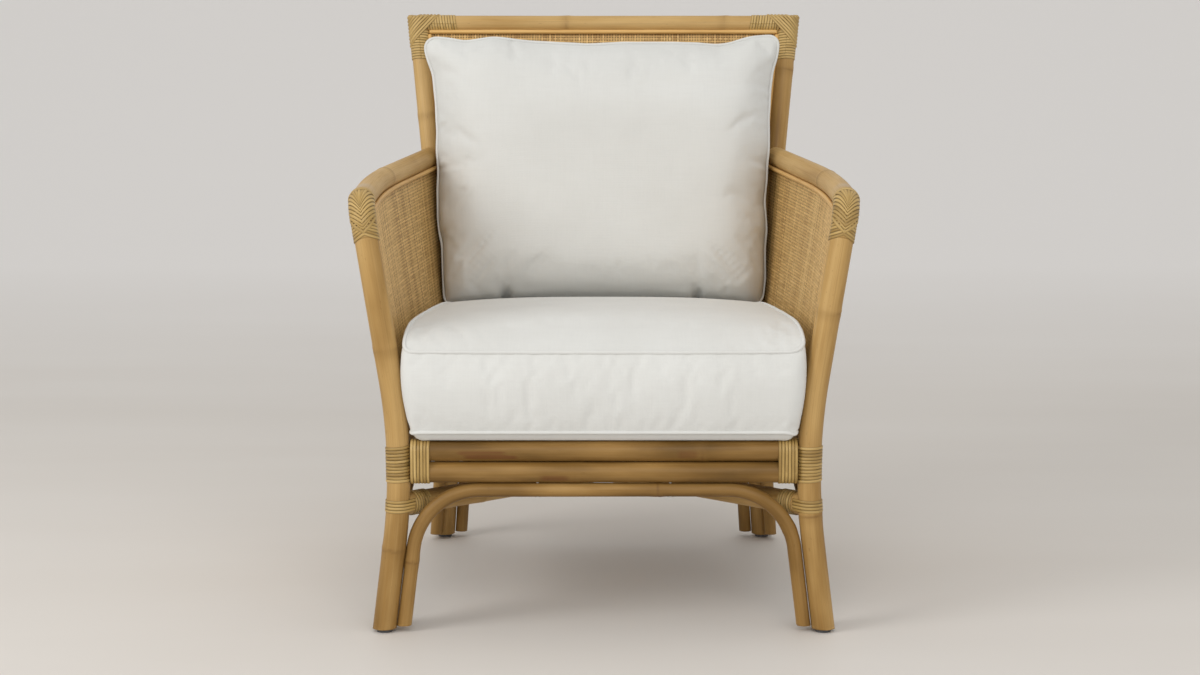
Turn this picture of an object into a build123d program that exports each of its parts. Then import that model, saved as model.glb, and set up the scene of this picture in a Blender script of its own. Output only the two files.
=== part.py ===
from build123d import *
import math
import os

# A rattan armchair: bent poles lashed with split cane, woven cane panels and two loose cushions.
# Millimetres, +Z up, the front faces -Y, the origin lies on the floor under the middle of the chair.
# Left and right are the viewer's, looking at the front. Depths are measured behind the front legs.

os.makedirs("parts", exist_ok=True)

# Pole diameters
LEG_D = 33.0
ARM_D = 33.0
RAIL_D = 30.0
SIDE_RAIL_D = 26.0
BACK_RAIL_D = 26.0
TOP_RAIL_D = 28.0
ARCH_D = 20.0
STRETCHER_D = 32.0
DECK_D = 20.0
BEAD_D = 7.0

# A search along a centre line halves its range this many times
HALVINGS = 40

# Small clearances
FIT = 0.3
LASH_FIT = 0.8
LASH_SPARE = 1.2

# The front legs stand this far in front of the origin, plumb when seen from the side
FRONT_Y = -345.5
LEG_FOOT_X = 308.6
LEG_WAIST_X = 277.7
LEG_WAIST_Z = 243.0
LEG_FLARE = 0.157
LEG_BEND_R = 820.0
LEG_TOP_Z = 556.0

# The back posts run from the floor to the top rail
POST_FOOT_X = 264.0
POST_FOOT_DEPTH = 607.0
POST_WAIST_X = 243.0
POST_WAIST_DEPTH = 547.0
POST_WAIST_Z = 262.0
POST_TOP_X = 306.0
POST_TOP_DEPTH = 702.0
POST_TOP_Z = 857.0
POST_BEND_R = 500.0

# The arms rise a little towards the back and bend down onto the front legs
ELBOW_Z = 604.0
ELBOW_R = 34.0
ARM_BOW_X = 337.0
ARM_BOW_DEPTH = 242.0
ARM_BOW_Z = 614.0
ARM_BOW_R = 1500.0
ARM_BACK_Z = 628.5

# Seat frame
FRONT_RAIL_Z = 258.0
SEAT_DROP = 20.0
TOP_RAIL_BELOW_TOP = 13.0
BACK_RAIL_Z = 336.0
ARCH_BEND_R = 95.0
ARCH_FOOT_Z = 9.0
SIDE_ARCH_OUT = 13.0
SIDE_ARCH_GAP = 1.5
STRETCHER_FRONT_Z = 180.5
DECK_COUNT = 7
DECK_SPACING = 62.0
DECK_RISE = 3.0

# Cane panels and the reed bead that covers their edges
CANE_T = 1.6
CANE_INSET = 7.5
BACK_CANE_FORWARD = 4.0
BEAD_END_GAP = 9.0
ARM_BEAD_START = 0.25
CANE_STATIONS = 5

# Lashings: one round strand for each winding
STRAND_D = 3.0
STRAND_PITCH = 4.5
LEG_TURNS = 11
RAIL_TURNS = 6
LOW_TURNS = 4
STRETCHER_TURNS = 6
ELBOW_TURNS = 7
ELBOW_LASH_Z = 541.0
CORNER_TURNS = 5
CORNER_DIAGONALS = 5
CORNER_FIRST = -4.0
SIDE_TURNS = 4
POINTS_PER_LOOP = 48

# Glides, dowels and screws
GLIDE_D = 22.0
GLIDE_T = 5.0
GLIDE_PIN_D = 3.0
GLIDE_PIN_L = 18.0
DOWEL_D = 10.0
DOWEL_L = 50.0
DOWEL_FIT = 0.2
SCREW_D = 4.5
SCREW_HEAD_D = 9.0
SCREW_HEAD_L = 3.0
ARM_SCREW_L = 58.0
ARCH_SCREW_L = 32.0
ARCH_SCREW_X = 92.5

# Both cushions: their covers and welts, and the cross-sections that shape them
COVER_T = 8.0
WELT_D = 8.0
WELT_CORNER_R = 7.0
CUSHION_SHARES = [-1.0, -0.86, -0.5, 0.0, 0.5, 0.86, 1.0]

# Seat cushion; its top swells along its depth by shares of the crown
SEAT_FRONT_HALF_W = 268.0
SEAT_BACK_HALF_W = 222.0
SEAT_FLARE = 9.0
SEAT_FRONT_DEPTH = -23.0
SEAT_BACK_DEPTH = 530.0
SEAT_BOX_H = 120.0
SEAT_CROWN = 46.0
SEAT_EDGE_CROWN = 36.0
SEAT_SWELL = [(0.93, 0.4), (0.8, 0.8), (0.5, 1.0), (0.2, 0.9), (0.06, 0.45)]
SEAT_BULGE = 9.0
SEAT_SIDE_BULGE = 3.0
SEAT_CLEAR = 0.4
SEAT_FULLNESS = 3

# Back cushion, measured at its lower seam; its panels swell along their height by shares of the bulge
BACK_HALF_W = 251.0
BACK_FLARE = 30.0
BACK_H = 437.0
BACK_DIP = 12.0
BACK_FRONT_BULGE = 78.0
BACK_REAR_BULGE = 62.0
BACK_SWELL = [(0.1, 0.49), (0.275, 0.87), (0.5, 1.0), (0.725, 0.87), (0.9, 0.49)]
BACK_EDGE_T = 2.0
BACK_FULLNESS = 4
BACK_PUFF = 0.85
BACK_LIFT = 45.0
BACK_REAR_GAP = 0.5

leg_r = LEG_D / 2
arm_r = ARM_D / 2
rail_r = RAIL_D / 2
side_rail_r = SIDE_RAIL_D / 2
back_rail_r = BACK_RAIL_D / 2
top_rail_r = TOP_RAIL_D / 2
arch_r = ARCH_D / 2
stretcher_r = STRETCHER_D / 2
bead_r = BEAD_D / 2
strand_r = STRAND_D / 2

# A pole that stops at a lashing keeps this far from the lashed pole's surface
lash_room = LASH_FIT + STRAND_D + LASH_SPARE


def at(x, depth, z):
    """A point given by its depth behind the front legs."""
    return Vector(x, FRONT_Y + depth, z)


def on_line(start, end, z):
    """The point of a straight line at a height."""
    share = (z - start.Z) / (end.Z - start.Z)
    return start + (end - start) * share


def mirrored(point):
    """The same point on the left side."""
    return Vector(-point.X, point.Y, point.Z)


def route(corners, radii=()):
    """The centre line of a pole: straight runs joined by tangent arcs."""
    if len(corners) == 2:
        return Wire([Line(*corners).edge()])
    return Wire(FilletPolyline(*corners, radius=list(radii)).edges())


def place_at(line, value, measure):
    """Where a centre line reaches a value of a steadily growing measure, with its direction there."""
    low = 0.0
    high = 1.0
    for _ in range(HALVINGS):
        middle = (low + high) / 2
        if measure(line.position_at(middle)) < value:
            low = middle
        else:
            high = middle
    return line.position_at(low), line.tangent_at(low)


def at_height(line, z):
    """The point and direction of a rising centre line at a height."""
    return place_at(line, z, lambda point: point.Z)


def at_depth(line, y):
    """The point and direction of a centre line that runs to the back."""
    return place_at(line, y, lambda point: point.Y)


def tube(line, diameter):
    """A round pole swept along its centre line."""
    with BuildPart() as made:
        with BuildSketch(Plane(origin=line.position_at(0), z_dir=line.tangent_at(0))):
            Circle(diameter / 2)
        sweep(path=line)
    return made.part


def rod(start, end, diameter):
    """A straight round rod between two points."""
    return tube(route([start, end]), diameter)


def cut_from(body, tools):
    """A body with other bodies taken out of it."""
    with BuildPart() as made:
        add(body)
        for tool in tools:
            add(tool, mode=Mode.SUBTRACT)
    return made.part


def largest(body):
    """The biggest solid of a body that a cut has split."""
    return body.solids().sort_by(SortBy.VOLUME)[-1]


def flipped(body):
    """The left-hand copy of a right-hand body."""
    with BuildPart() as made:
        mirror(body, about=Plane.YZ)
    return made.part


def cut_flat(body, z):
    """A pole whose foot is sawn level."""
    with BuildPart() as made:
        add(body)
        split(bisect_by=Plane.XY.offset(z), keep=Keep.TOP)
    return made.part


def save(body, label):
    """Name a finished piece and write it."""
    with BuildPart() as piece:
        add(body)
    piece.part.label = label
    export_step(piece.part, f"parts/{label}.step")


def save_group(bodies, label):
    """Write several separate solids as one piece."""
    save([solid for body in bodies for solid in body.solids()], label)


def save_pair(body, stem):
    """Write a right-hand piece and its left-hand copy."""
    save(body, f"{stem}_right")
    save(flipped(body), f"{stem}_left")


def least_gap(line, loops):
    """The least clear space between neighbouring turns of a strand, from points along it."""
    steps = POINTS_PER_LOOP * loops
    points = [line.position_at(index / steps) for index in range(steps + 1)]
    apart = steps // (2 * loops)
    nearest = min(
        (points[one] - points[two]).length
        for one in range(steps + 1)
        for two in range(one + apart, min(steps + 1, one + 3 * apart))
    )
    return nearest - STRAND_D


def strand(name, start, axis, along, half_runs, bend_r):
    """One unbroken strand wound in loops of two straight runs and two half turns.

    The loops advance along the axis, and their straight runs lie in the direction along. half_runs
    holds half the length of each loop's run, nothing for a loop round a single pole.
    """
    axis = axis.normalized()
    along = (along - axis * along.dot(axis)).normalized()
    depth = axis.cross(along)
    step = axis * (STRAND_PITCH / 2)
    loops = len(half_runs)
    with BuildPart() as made:
        with BuildLine() as path:
            front = start + depth * bend_r - along * half_runs[0]
            Line(front - along * STRAND_D, front)
            for index, run in enumerate(half_runs):
                middle = start + axis * (STRAND_PITCH * index)
                next_run = half_runs[min(index + 1, loops - 1)]
                front = middle + depth * bend_r
                back = middle + step - depth * bend_r
                ahead = middle + step * 2 + depth * bend_r
                turn_r = (front - back).length / 2
                if run > 0:
                    Line(front - along * run, front + along * run)
                ThreePointArc(
                    front + along * run,
                    (front + back) / 2 + along * (run + turn_r),
                    back + along * run,
                )
                if run + next_run > 0:
                    Line(back + along * run, back - along * next_run)
                ThreePointArc(
                    back - along * next_run,
                    (back + ahead) / 2 - along * (next_run + turn_r),
                    ahead - along * next_run,
                )
            end = start + axis * (STRAND_PITCH * loops) + depth * bend_r - along * half_runs[-1]
            Line(end, end + along * STRAND_D)
        line = path.wire()
        with BuildSketch(Plane(origin=line.position_at(0), z_dir=line.tangent_at(0))):
            Circle(strand_r)
        sweep(path=line)
    print(f"{name}: {loops} loops, least gap {least_gap(line, loops):.2f} mm")
    return made.part


def pole_strand(name, place, direction, turns, pole_r, facing):
    """A strand wound round one pole, centred on a place of its axis."""
    start = place - direction.normalized() * (STRAND_PITCH * turns / 2)
    return strand(name, start, direction, facing, [0.0] * turns, pole_r + LASH_FIT + strand_r)


across = Vector(1, 0, 0)
forward = Vector(0, -1, 0)
up = Vector(0, 0, 1)

# Centre lines of the right-hand poles
leg_foot = at(LEG_FOOT_X, 0, 0)
leg_waist = at(LEG_WAIST_X, 0, LEG_WAIST_Z)
leg_top = leg_waist + Vector(LEG_FLARE, 0, 1) * (LEG_TOP_Z - LEG_WAIST_Z)
leg_toe = on_line(leg_foot, leg_waist, -LEG_D)
leg_line = route([leg_toe, leg_waist, leg_top], [LEG_BEND_R])

post_foot = at(POST_FOOT_X, POST_FOOT_DEPTH, 0)
post_waist = at(POST_WAIST_X, POST_WAIST_DEPTH, POST_WAIST_Z)
post_top = at(POST_TOP_X, POST_TOP_DEPTH, POST_TOP_Z)
post_toe = on_line(post_foot, post_waist, -LEG_D)
post_tip = on_line(post_waist, post_top, POST_TOP_Z + LEG_D)
post_line = route([post_toe, post_waist, post_tip], [POST_BEND_R])
post_up = (post_top - post_waist).normalized()
back_up = Vector(0, post_up.Y, post_up.Z).normalized()
back_forward = Vector(0, -back_up.Z, back_up.Y)

elbow = leg_waist + Vector(LEG_FLARE, 0, 1) * (ELBOW_Z - LEG_WAIST_Z)
arm_bow = at(ARM_BOW_X, ARM_BOW_DEPTH, ARM_BOW_Z)
arm_back = on_line(post_waist, post_top, ARM_BACK_Z)
arm_line = route([leg_top + up * FIT, elbow, arm_bow, arm_back], [ELBOW_R, ARM_BOW_R])

# Heights of the seat rails
front_low_z = FRONT_RAIL_Z - RAIL_D - FIT
back_rail_up_z = FRONT_RAIL_Z - SEAT_DROP
back_rail_low_z = back_rail_up_z - RAIL_D - FIT
side_up_z = FRONT_RAIL_Z + rail_r - side_rail_r - 2 * FIT
side_low_z = side_up_z - SIDE_RAIL_D - FIT

front_up_at = at_height(leg_line, FRONT_RAIL_Z)[0]
front_low_at = at_height(leg_line, front_low_z)[0]
rear_up_at = at_height(post_line, back_rail_up_z)[0]
rear_low_at = at_height(post_line, back_rail_low_z)[0]
side_up_front = at_height(leg_line, side_up_z)[0]
side_low_front = at_height(leg_line, side_low_z)[0]
side_up_back = at_height(post_line, side_up_z - SEAT_DROP)[0]
side_low_back = at_height(post_line, side_low_z - SEAT_DROP)[0]
top_rail_z = POST_TOP_Z - TOP_RAIL_BELOW_TOP
top_rail_at = on_line(post_waist, post_top, top_rail_z)
back_rail_at = at_height(post_line, BACK_RAIL_Z)[0]

# Space that each right-hand pole takes up, bare or lashed
leg_room = tube(leg_line, LEG_D + 2 * lash_room)
post_room = tube(post_line, LEG_D + 2 * lash_room)
post_space = tube(post_line, LEG_D + 2 * FIT)
arm_space = tube(arm_line, ARM_D + 2 * FIT)
leg_space = tube(leg_line, LEG_D + 2 * FIT)


def rail_between(right_end, diameter, room):
    """A straight rail from side to side, coped round the poles at its ends."""
    return cut_from(rod(mirrored(right_end), right_end, diameter), [room, flipped(room)])


def arch(corners, feet_z):
    """A bent tube with two sawn feet."""
    return cut_flat(tube(route(corners, [ARCH_BEND_R, ARCH_BEND_R]), ARCH_D), feet_z)


def dowel_at(place, direction, extra):
    """A dowel centred on a place, or its hole with some extra width."""
    half = direction.normalized() * (DOWEL_L / 2 + extra)
    return rod(place - half, place + half, DOWEL_D + 2 * extra)


def screw_at(head, direction, length, extra):
    """A screw with a cheese head, or its hole with some extra width."""
    direction = direction.normalized()
    neck = head + direction * SCREW_HEAD_L
    with BuildPart() as made:
        add(rod(head - direction * extra, neck + direction * extra, SCREW_HEAD_D + 2 * extra))
        add(rod(neck, neck + direction * (length + extra), SCREW_D + 2 * extra))
    return made.part


# Dowels: leg to arm, post to top rail, post to lower back rail
leg_joint = leg_top + up * (FIT / 2)
leg_joint_way = leg_top - leg_waist
top_joint = top_rail_at - across * (leg_r + FIT)
back_joint = back_rail_at - across * (leg_r + FIT)
dowel_places = [(leg_joint, leg_joint_way), (top_joint, across), (back_joint, across)]
dowels = [dowel_at(place, way, 0) for place, way in dowel_places]
dowel_holes = [dowel_at(place, way, DOWEL_FIT) for place, way in dowel_places]

# Screws that hold the arms, driven through the posts from behind
arm_way = arm_line.tangent_at(1) * -1
arm_screw_head = arm_back - arm_way * (leg_r - SCREW_HEAD_L)
arm_screw = screw_at(arm_screw_head, arm_way, ARM_SCREW_L, 0)
arm_screw_hole = screw_at(arm_screw_head - arm_way * leg_r, arm_way, ARM_SCREW_L + leg_r, DOWEL_FIT)
arm_screw_hole_head = rod(
    arm_screw_head - arm_way * leg_r,
    arm_screw_head + arm_way * (SCREW_HEAD_L + DOWEL_FIT),
    SCREW_HEAD_D + 2 * DOWEL_FIT,
)

# Glides under the four legs
glide_pin = rod(Vector(0, 0, GLIDE_T - FIT), Vector(0, 0, GLIDE_T + GLIDE_PIN_L), GLIDE_PIN_D)


def glide_under(foot):
    """A nail-on glide: a round foot and its pin."""
    with BuildPart() as made:
        with BuildSketch(Plane(origin=(foot.X, foot.Y, 0))):
            Circle(GLIDE_D / 2)
        extrude(amount=GLIDE_T)
        add(glide_pin.moved(Location((foot.X, foot.Y, 0))))
    return made.part


def glide_hole(foot):
    """The pin's hole in a foot."""
    low = Vector(foot.X, foot.Y, 0)
    return rod(low, low + up * (GLIDE_T + GLIDE_PIN_L + FIT), GLIDE_PIN_D + 2 * DOWEL_FIT)


leg_glide_at = on_line(leg_foot, leg_waist, GLIDE_T)
post_glide_at = on_line(post_foot, post_waist, GLIDE_T)
glides = [glide_under(leg_glide_at), glide_under(post_glide_at)]
save_group(glides + [flipped(glide) for glide in glides], "floor_glides")

# Front legs, back posts and arms
front_leg = cut_from(
    cut_flat(tube(leg_line, LEG_D), GLIDE_T),
    [glide_hole(leg_glide_at), dowel_holes[0]],
)
save_pair(front_leg, "front_leg")

with BuildPart() as back_post:
    add(tube(post_line, LEG_D))
    split(bisect_by=Plane.XY.offset(GLIDE_T), keep=Keep.TOP)
    split(bisect_by=Plane.XY.offset(POST_TOP_Z), keep=Keep.BOTTOM)
    add(glide_hole(post_glide_at), mode=Mode.SUBTRACT)
    add(dowel_holes[1], mode=Mode.SUBTRACT)
    add(dowel_holes[2], mode=Mode.SUBTRACT)
    add(arm_screw_hole, mode=Mode.SUBTRACT)
    add(arm_screw_hole_head, mode=Mode.SUBTRACT)
save_pair(back_post.part, "back_post")

arm = cut_from(tube(arm_line, ARM_D), [post_space, dowel_holes[0], arm_screw_hole])
save_pair(arm, "arm")

save_group(dowels + [flipped(dowel) for dowel in dowels], "joint_dowels")
save_group([arm_screw, flipped(arm_screw)], "arm_screws")

# Rails from side to side
both_top_holes = [dowel_holes[1], flipped(dowel_holes[1])]
both_back_holes = [dowel_holes[2], flipped(dowel_holes[2])]
save(cut_from(rail_between(top_rail_at, TOP_RAIL_D, post_space), both_top_holes), "top_rail")
save(cut_from(rail_between(back_rail_at, BACK_RAIL_D, post_space), both_back_holes), "back_lower_rail")
save(rail_between(front_up_at, RAIL_D, leg_room), "front_rail_upper")
save(rail_between(rear_up_at, RAIL_D, post_room), "rear_rail_upper")

# Screws that hold the arches up under the lower rails
front_arch_z = front_low_z - rail_r - FIT - arch_r
rear_arch_z = back_rail_low_z - rail_r - FIT - arch_r
front_screw = screw_at(at(ARCH_SCREW_X, 0, front_arch_z - arch_r), up, ARCH_SCREW_L, 0)
front_screw_hole = screw_at(at(ARCH_SCREW_X, 0, front_arch_z - arch_r), up, ARCH_SCREW_L, DOWEL_FIT)
rear_screw_at = Vector(ARCH_SCREW_X, rear_low_at.Y, rear_arch_z - arch_r)
rear_screw = screw_at(rear_screw_at, up, ARCH_SCREW_L, 0)
rear_screw_hole = screw_at(rear_screw_at, up, ARCH_SCREW_L, DOWEL_FIT)
front_holes = [front_screw_hole, flipped(front_screw_hole)]
rear_holes = [rear_screw_hole, flipped(rear_screw_hole)]
save_group([front_screw, flipped(front_screw), rear_screw, flipped(rear_screw)], "arch_screws")

save(cut_from(rail_between(front_low_at, RAIL_D, leg_room), front_holes), "front_rail_lower")
save(cut_from(rail_between(rear_low_at, RAIL_D, post_room), rear_holes), "rear_rail_lower")

# Side rails, dropping to the back
side_rail_upper = cut_from(rod(side_up_front, side_up_back, SIDE_RAIL_D), [leg_room, post_room])
save_pair(side_rail_upper, "side_rail_upper")
side_rail_lower = cut_from(rod(side_low_front, side_low_back, SIDE_RAIL_D), [leg_room, post_room])
save_pair(side_rail_lower, "side_rail_lower")

# Arches: each leg of an arch stands against a main leg
arch_beside = leg_r + arch_r + 2 * FIT
front_arch_foot = on_line(leg_foot, leg_waist, -ARCH_D) - across * arch_beside
front_arch_corner = on_line(leg_foot, leg_waist, front_arch_z) - across * arch_beside
front_arch_points = [
    mirrored(front_arch_foot),
    mirrored(front_arch_corner),
    front_arch_corner,
    front_arch_foot,
]
save(cut_from(arch(front_arch_points, ARCH_FOOT_Z), front_holes), "front_arch")

rear_arch_corner = Vector(
    on_line(post_foot, post_waist, rear_arch_z).X - arch_beside,
    rear_low_at.Y,
    rear_arch_z,
)
rear_arch_foot = on_line(post_foot, post_waist, -ARCH_D) - across * arch_beside
rear_arch_points = [
    mirrored(rear_arch_foot),
    mirrored(rear_arch_corner),
    rear_arch_corner,
    rear_arch_foot,
]
save(cut_from(arch(rear_arch_points, ARCH_FOOT_Z), rear_holes), "rear_arch")

side_arch_front_z = side_low_z - side_rail_r - SIDE_ARCH_GAP - arch_r
side_arch_back_z = side_arch_front_z - SEAT_DROP
side_arch_back_shift = Vector(SIDE_ARCH_OUT, -math.sqrt(arch_beside**2 - SIDE_ARCH_OUT**2), 0)
side_arch_points = [
    on_line(leg_foot, leg_waist, -ARCH_D) - forward * arch_beside,
    on_line(leg_foot, leg_waist, side_arch_front_z) - forward * arch_beside,
    on_line(post_foot, post_waist, side_arch_back_z) + side_arch_back_shift,
    on_line(post_foot, post_waist, -ARCH_D) + side_arch_back_shift,
]
side_arch = arch(side_arch_points, ARCH_FOOT_Z)
save_pair(side_arch, "side_arch")

# Crossed stretchers, halved where they meet
stretcher_front = at_height(leg_line, STRETCHER_FRONT_Z)
stretcher_back = at_height(post_line, STRETCHER_FRONT_Z - SEAT_DROP)
stretcher_way = mirrored(stretcher_back[0]) - stretcher_front[0]
other_way = mirrored(stretcher_way)
share_to_middle = stretcher_front[0].X / -stretcher_way.X
crossing = stretcher_front[0] + stretcher_way * share_to_middle
lap_up = other_way.cross(stretcher_way)
if lap_up.Z < 0:
    lap_up = lap_up * -1
lap_plane = Plane(origin=crossing, z_dir=lap_up)
stretcher_rooms = [leg_room, flipped(post_room)]
stretcher = rod(stretcher_front[0], mirrored(stretcher_back[0]), STRETCHER_D)
stretcher_space = rod(stretcher_front[0], mirrored(stretcher_back[0]), STRETCHER_D + 2 * FIT)
with BuildPart() as upper_half:
    add(flipped(stretcher_space))
    split(bisect_by=lap_plane.offset(-FIT / 2), keep=Keep.TOP)
with BuildPart() as lower_half:
    add(stretcher_space)
    split(bisect_by=lap_plane.offset(FIT / 2), keep=Keep.BOTTOM)
save(cut_from(stretcher, stretcher_rooms + [upper_half.part]), "stretcher_right")
left_rooms = [flipped(room) for room in stretcher_rooms]
save(cut_from(flipped(stretcher), left_rooms + [lower_half.part]), "stretcher_left")

# Seat deck of thin poles between the front and the rear rail
front_rail_space = rod(mirrored(front_up_at), front_up_at, RAIL_D + 2 * FIT)
rear_rail_space = rod(mirrored(rear_up_at), rear_up_at, RAIL_D + 2 * FIT)
deck_front = Vector(0, front_up_at.Y, front_up_at.Z + DECK_RISE)
deck_back = Vector(0, rear_up_at.Y, rear_up_at.Z + DECK_RISE)
deck_pole = cut_from(rod(deck_front, deck_back, DECK_D), [front_rail_space, rear_rail_space])
deck_places = [DECK_SPACING * (index - (DECK_COUNT - 1) / 2) for index in range(DECK_COUNT)]
save_group([deck_pole.moved(Location((x, 0, 0))) for x in deck_places], "deck_poles")

# Lashings round single poles
leg_lash_z = (FRONT_RAIL_Z + front_low_z) / 2
post_lash_z = (back_rail_up_z + back_rail_low_z) / 2
leg_lash_at = at_height(leg_line, leg_lash_z)
post_lash_at = at_height(post_line, post_lash_z)
elbow_lash_at = on_line(leg_waist, leg_top, ELBOW_LASH_Z + ELBOW_TURNS * STRAND_PITCH / 2)

front_leg_lash = pole_strand("front leg lashing", *leg_lash_at, LEG_TURNS, leg_r, across)
save_pair(front_leg_lash, "front_leg_binding")
post_lash = pole_strand("back post lashing", *post_lash_at, LEG_TURNS, leg_r, across)
save_pair(post_lash, "back_post_binding")
low_leg_lash = pole_strand("low leg lashing", *stretcher_front, LOW_TURNS, leg_r, across)
save_pair(low_leg_lash, "stretcher_leg_binding")
elbow_lash = pole_strand("elbow lashing", elbow_lash_at, leg_joint_way, ELBOW_TURNS, arm_r, across)
save_pair(elbow_lash, "elbow_binding")

# Lashings near the ends of the stretchers
stretcher_line_way = stretcher_way.normalized()
front_end_at = leg_r + lash_room + stretcher_r + STRAND_PITCH * STRETCHER_TURNS / 2
front_end = stretcher_front[0] + stretcher_line_way * front_end_at
front_end_lash = pole_strand(
    "stretcher lashing", front_end, stretcher_line_way, STRETCHER_TURNS, stretcher_r, up
)
save_pair(front_end_lash, "stretcher_end_binding")
back_end = mirrored(stretcher_back[0]) - stretcher_line_way * front_end_at
back_end_lash = pole_strand(
    "rear stretcher lashing", back_end, stretcher_line_way, STRETCHER_TURNS, stretcher_r, up
)
low_post_lash = pole_strand("low post lashing", *stretcher_back, LOW_TURNS, leg_r, across)
rear_low = [back_end_lash, low_post_lash]
save_group(rear_low + [flipped(lash) for lash in rear_low], "rear_stretcher_bindings")


def rail_pair_strand(name, upper, lower, axis, first, turns, pole_r):
    """A strand round two stacked rails, its first loop a given distance along the axis."""
    axis = axis.normalized()
    middle = (upper + lower) / 2 + axis * first
    half_run = (upper - lower).length / 2
    return strand(name, middle, axis, upper - lower, [half_run] * turns, pole_r + LASH_FIT + strand_r)


rail_lash_first = leg_r + lash_room + STRAND_PITCH / 2
front_rail_lash = rail_pair_strand(
    "front rail lashing", front_up_at, front_low_at, across * -1, rail_lash_first, RAIL_TURNS, rail_r
)
save_pair(front_rail_lash, "front_rail_binding")
rear_rail_lash = rail_pair_strand(
    "rear rail lashing", rear_up_at, rear_low_at, across * -1, rail_lash_first, RAIL_TURNS, rail_r
)
save_pair(rear_rail_lash, "rear_rail_binding")
side_way = side_up_back - side_up_front
side_front_lash = rail_pair_strand(
    "side rail front lashing",
    side_up_front,
    side_low_front,
    side_way,
    rail_lash_first + STRAND_PITCH,
    SIDE_TURNS,
    side_rail_r,
)
side_back_lash = rail_pair_strand(
    "side rail rear lashing",
    side_up_back,
    side_low_back,
    side_way * -1,
    rail_lash_first + STRAND_PITCH,
    SIDE_TURNS,
    side_rail_r,
)
side_lashes = [side_front_lash, side_back_lash]
save_group(side_lashes + [flipped(lash) for lash in side_lashes], "side_rail_bindings")

# Top corner lashings: slanting loops over the joint, then turns round the rail and round the post
corner_r = leg_r + LASH_FIT + strand_r
slant = (across * -1 + back_up).normalized()
inward = (across * -1 - back_up).normalized()
slant_spare = leg_r * (math.sqrt(2) - 1) + STRAND_D
slant_starts = [CORNER_FIRST + STRAND_PITCH * index for index in range(CORNER_DIAGONALS)]
slant_runs = [max(0.0, start + slant_spare) for start in slant_starts]
slant_lash = strand(
    "slanting corner lashing",
    top_rail_at + inward * CORNER_FIRST,
    inward,
    slant,
    slant_runs,
    corner_r,
)
corner_reach = (slant_starts[-1] + STRAND_PITCH + slant_runs[-1] + corner_r) / math.sqrt(2)
corner_clear = corner_reach + STRAND_PITCH
corner_half = STRAND_PITCH * CORNER_TURNS / 2
rail_turn_at = top_rail_at - across * (corner_clear + corner_half)
rail_turns = pole_strand("corner rail lashing", rail_turn_at, across * -1, CORNER_TURNS, top_rail_r, up)
post_turn_at = top_rail_at - post_up * (corner_clear + corner_half)
post_turns = pole_strand("corner post lashing", post_turn_at, post_up, CORNER_TURNS, leg_r, across)
corner_lashes = [slant_lash, rail_turns, post_turns]
save_group(corner_lashes, "top_corner_binding_right")
save_group([flipped(lash) for lash in corner_lashes], "top_corner_binding_left")

# Space round the top corner's lashed stretches, kept free of cane and bead
corner_length = corner_clear + 2 * corner_half + STRAND_PITCH
post_turn_room = rod(
    top_rail_at + post_up * LEG_D,
    top_rail_at - post_up * corner_length,
    LEG_D + 2 * lash_room,
)
rail_turn_room = rod(
    top_rail_at,
    top_rail_at - across * corner_length,
    TOP_RAIL_D + 2 * lash_room,
)
corner_rooms = [post_turn_room, rail_turn_room]
corner_rooms = corner_rooms + [flipped(room) for room in corner_rooms]

# Woven cane in the back, a thin sheet in front of the posts' centre lines
back_plane = Plane(
    origin=Vector(0, back_rail_at.Y, back_rail_at.Z) + back_forward * BACK_CANE_FORWARD,
    x_dir=(1, 0, 0),
    z_dir=back_forward,
)
back_span = (Vector(0, top_rail_at.Y, top_rail_at.Z) - Vector(0, back_rail_at.Y, back_rail_at.Z)).length
post_spaces = [post_space, flipped(post_space)]
top_rail_space = rod(mirrored(top_rail_at), top_rail_at, TOP_RAIL_D + 2 * FIT)
back_rail_space = rod(mirrored(back_rail_at), back_rail_at, BACK_RAIL_D + 2 * FIT)
with BuildPart() as back_cane:
    with BuildSketch(back_plane):
        with BuildLine():
            Polyline(
                (-back_rail_at.X, 0),
                (back_rail_at.X, 0),
                (top_rail_at.X, back_span),
                (-top_rail_at.X, back_span),
                close=True,
            )
        make_face()
    extrude(amount=CANE_T)
    for space in post_spaces + [top_rail_space, back_rail_space] + corner_rooms:
        add(space, mode=Mode.SUBTRACT)
save(back_cane.part, "cane_back")

# Reed bead round the back panel
bead_forward = BACK_CANE_FORWARD + CANE_T + FIT + bead_r


def bead_beside(pole_r):
    """How far a bead on the cane lies from the centre line of the pole beside it."""
    return math.sqrt(max((pole_r + FIT + bead_r) ** 2 - bead_forward**2, 0))


bead_lift = back_forward * bead_forward
top_bead_at = top_rail_at - back_up * bead_beside(top_rail_r) + bead_lift
low_bead_at = back_rail_at + back_up * bead_beside(back_rail_r) + bead_lift
side_bead_in = across * bead_beside(leg_r)
bead_trim = back_up * (BEAD_D + BEAD_END_GAP)
side_bead_top = top_bead_at - side_bead_in - bead_trim
side_bead_low = low_bead_at - side_bead_in + bead_trim
end_in = across * (leg_r + BEAD_D + BEAD_END_GAP)
top_bead = rod(mirrored(top_bead_at - end_in), top_bead_at - end_in, BEAD_D)
low_bead = rod(mirrored(low_bead_at - end_in), low_bead_at - end_in, BEAD_D)
side_bead_back = rod(side_bead_low, side_bead_top, BEAD_D)
back_beads = [top_bead, low_bead, side_bead_back, flipped(side_bead_back)]
bead_cuts = corner_rooms + post_spaces + [arm_space, flipped(arm_space)]
save_group([cut_from(bead, bead_cuts) for bead in back_beads], "back_bead")

# Woven cane at the sides, spanned between the side rail and the arm
cane_shares = [station / (CANE_STATIONS - 1) for station in range(CANE_STATIONS)]


def cane_foot(share):
    """A point of the side panel's lower edge."""
    return side_up_front + (side_up_back - side_up_front) * share


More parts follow.
